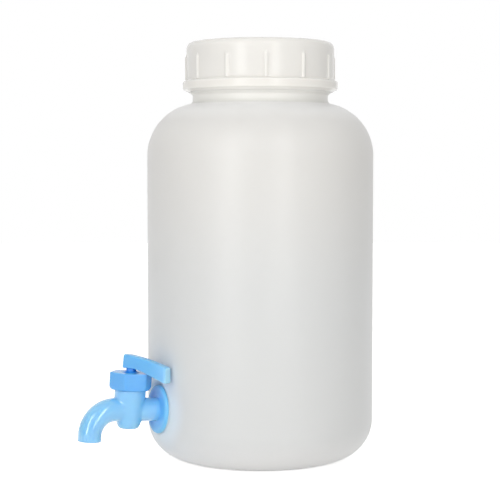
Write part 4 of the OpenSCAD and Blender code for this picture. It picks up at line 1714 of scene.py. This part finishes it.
def make_camera(stage):
    """Camera that looks at the spigot from its right."""
    data = bpy.data.cameras.new("camera")
    data.lens = stage.camera_lens
    data.sensor_width = SENSOR_WIDTH
    camera = bpy.data.objects.new("camera", data)
    bpy.context.scene.collection.objects.link(camera)
    camera.location = round_place(stage.camera_azimuth, stage.camera_distance, stage.camera_height)
    heading = stage.camera_azimuth + stage.camera_yaw
    camera.rotation_euler = (math.pi / 2 - stage.camera_pitch, 0, heading)
    bpy.context.scene.camera = camera


def make_strip(stage, name, angle, width):
    """Tall soft strip light that faces the bottle's axis."""
    data = bpy.data.lights.new(name, "AREA")
    data.shape = "RECTANGLE"
    data.size = width
    data.size_y = stage.strip_height
    data.energy = stage.strip_glow * width * stage.strip_height * math.pi
    lamp = bpy.data.objects.new(name, data)
    bpy.context.scene.collection.objects.link(lamp)
    azimuth = stage.camera_azimuth + angle
    lamp.location = round_place(azimuth, stage.strip_distance, stage.strip_middle)
    lamp.rotation_euler = (math.pi / 2, 0, azimuth)


class CARBOY_OT_stage(bpy.types.Operator):
    """Set up the camera, the pale floor and the studio light"""

    bl_idname = "carboy.stage"
    bl_label = "Stage"

    def execute(self, context):
        stage = context.scene.carboy.stage
        make_camera(stage)
        make_world(stage)
        make_strip(stage, "strip left", stage.strip_left, stage.strip_left_width)
        make_strip(stage, "strip right", stage.strip_right, stage.strip_right_width)
        mesh = bpy.data.meshes.new("floor")
        shape = bmesh.new()
        bmesh.ops.create_circle(shape, cap_ends=True, segments=FLOOR_SIDES, radius=stage.floor_radius)
        shape.to_mesh(mesh)
        shape.free()
        mesh.materials.append(white_for_camera("pale floor", stage.floor_shade, stage.floor_glow))
        floor = bpy.data.objects.new("floor", mesh)
        context.scene.collection.objects.link(floor)
        context.scene.view_settings.view_transform = "Standard"
        return {"FINISHED"}


# ---- panel and registration ----


class CARBOY_PT_panel(bpy.types.Panel):
    """Lists the carboy's pieces"""

    bl_idname = "CARBOY_PT_panel"
    bl_label = "Carboy"
    bl_space_type = "VIEW_3D"
    bl_region_type = "UI"
    bl_category = "Carboy"

    def draw(self, context):
        layout = self.layout
        for operator in OPERATORS:
            layout.operator(operator.bl_idname)
        for group in SETTINGS:
            box = layout.box()
            box.label(text=group.capitalize())
            values = getattr(context.scene.carboy, group)
            for name in values.bl_rna.properties.keys():
                if name not in ("rna_type", "name"):
                    box.prop(values, name)


OPERATORS = [
    CARBOY_OT_stage,
    CARBOY_OT_bottle,
    CARBOY_OT_threads,
    CARBOY_OT_cap,
    CARBOY_OT_spigot,
    CARBOY_OT_valve,
    CARBOY_OT_seals,
]
CLASSES = [*SETTINGS.values(), CarboySettings, *OPERATORS, CARBOY_PT_panel]


def register():
    """Registers the classes and the scene's settings."""
    for item in CLASSES:
        bpy.utils.register_class(item)
    bpy.types.Scene.carboy = PointerProperty(type=CarboySettings)


def unregister():
    """Takes back what register() did."""
    del bpy.types.Scene.carboy
    for item in reversed(CLASSES):
        bpy.utils.unregister_class(item)


def main():
    """Builds the stage and every piece."""
    register()
    bpy.ops.carboy.stage()
    bpy.ops.carboy.bottle()
    bpy.ops.carboy.threads()
    bpy.ops.carboy.cap()
    bpy.ops.carboy.spigot()
    bpy.ops.carboy.valve()
    bpy.ops.carboy.seals()


if __name__ == "__main__":
    main()
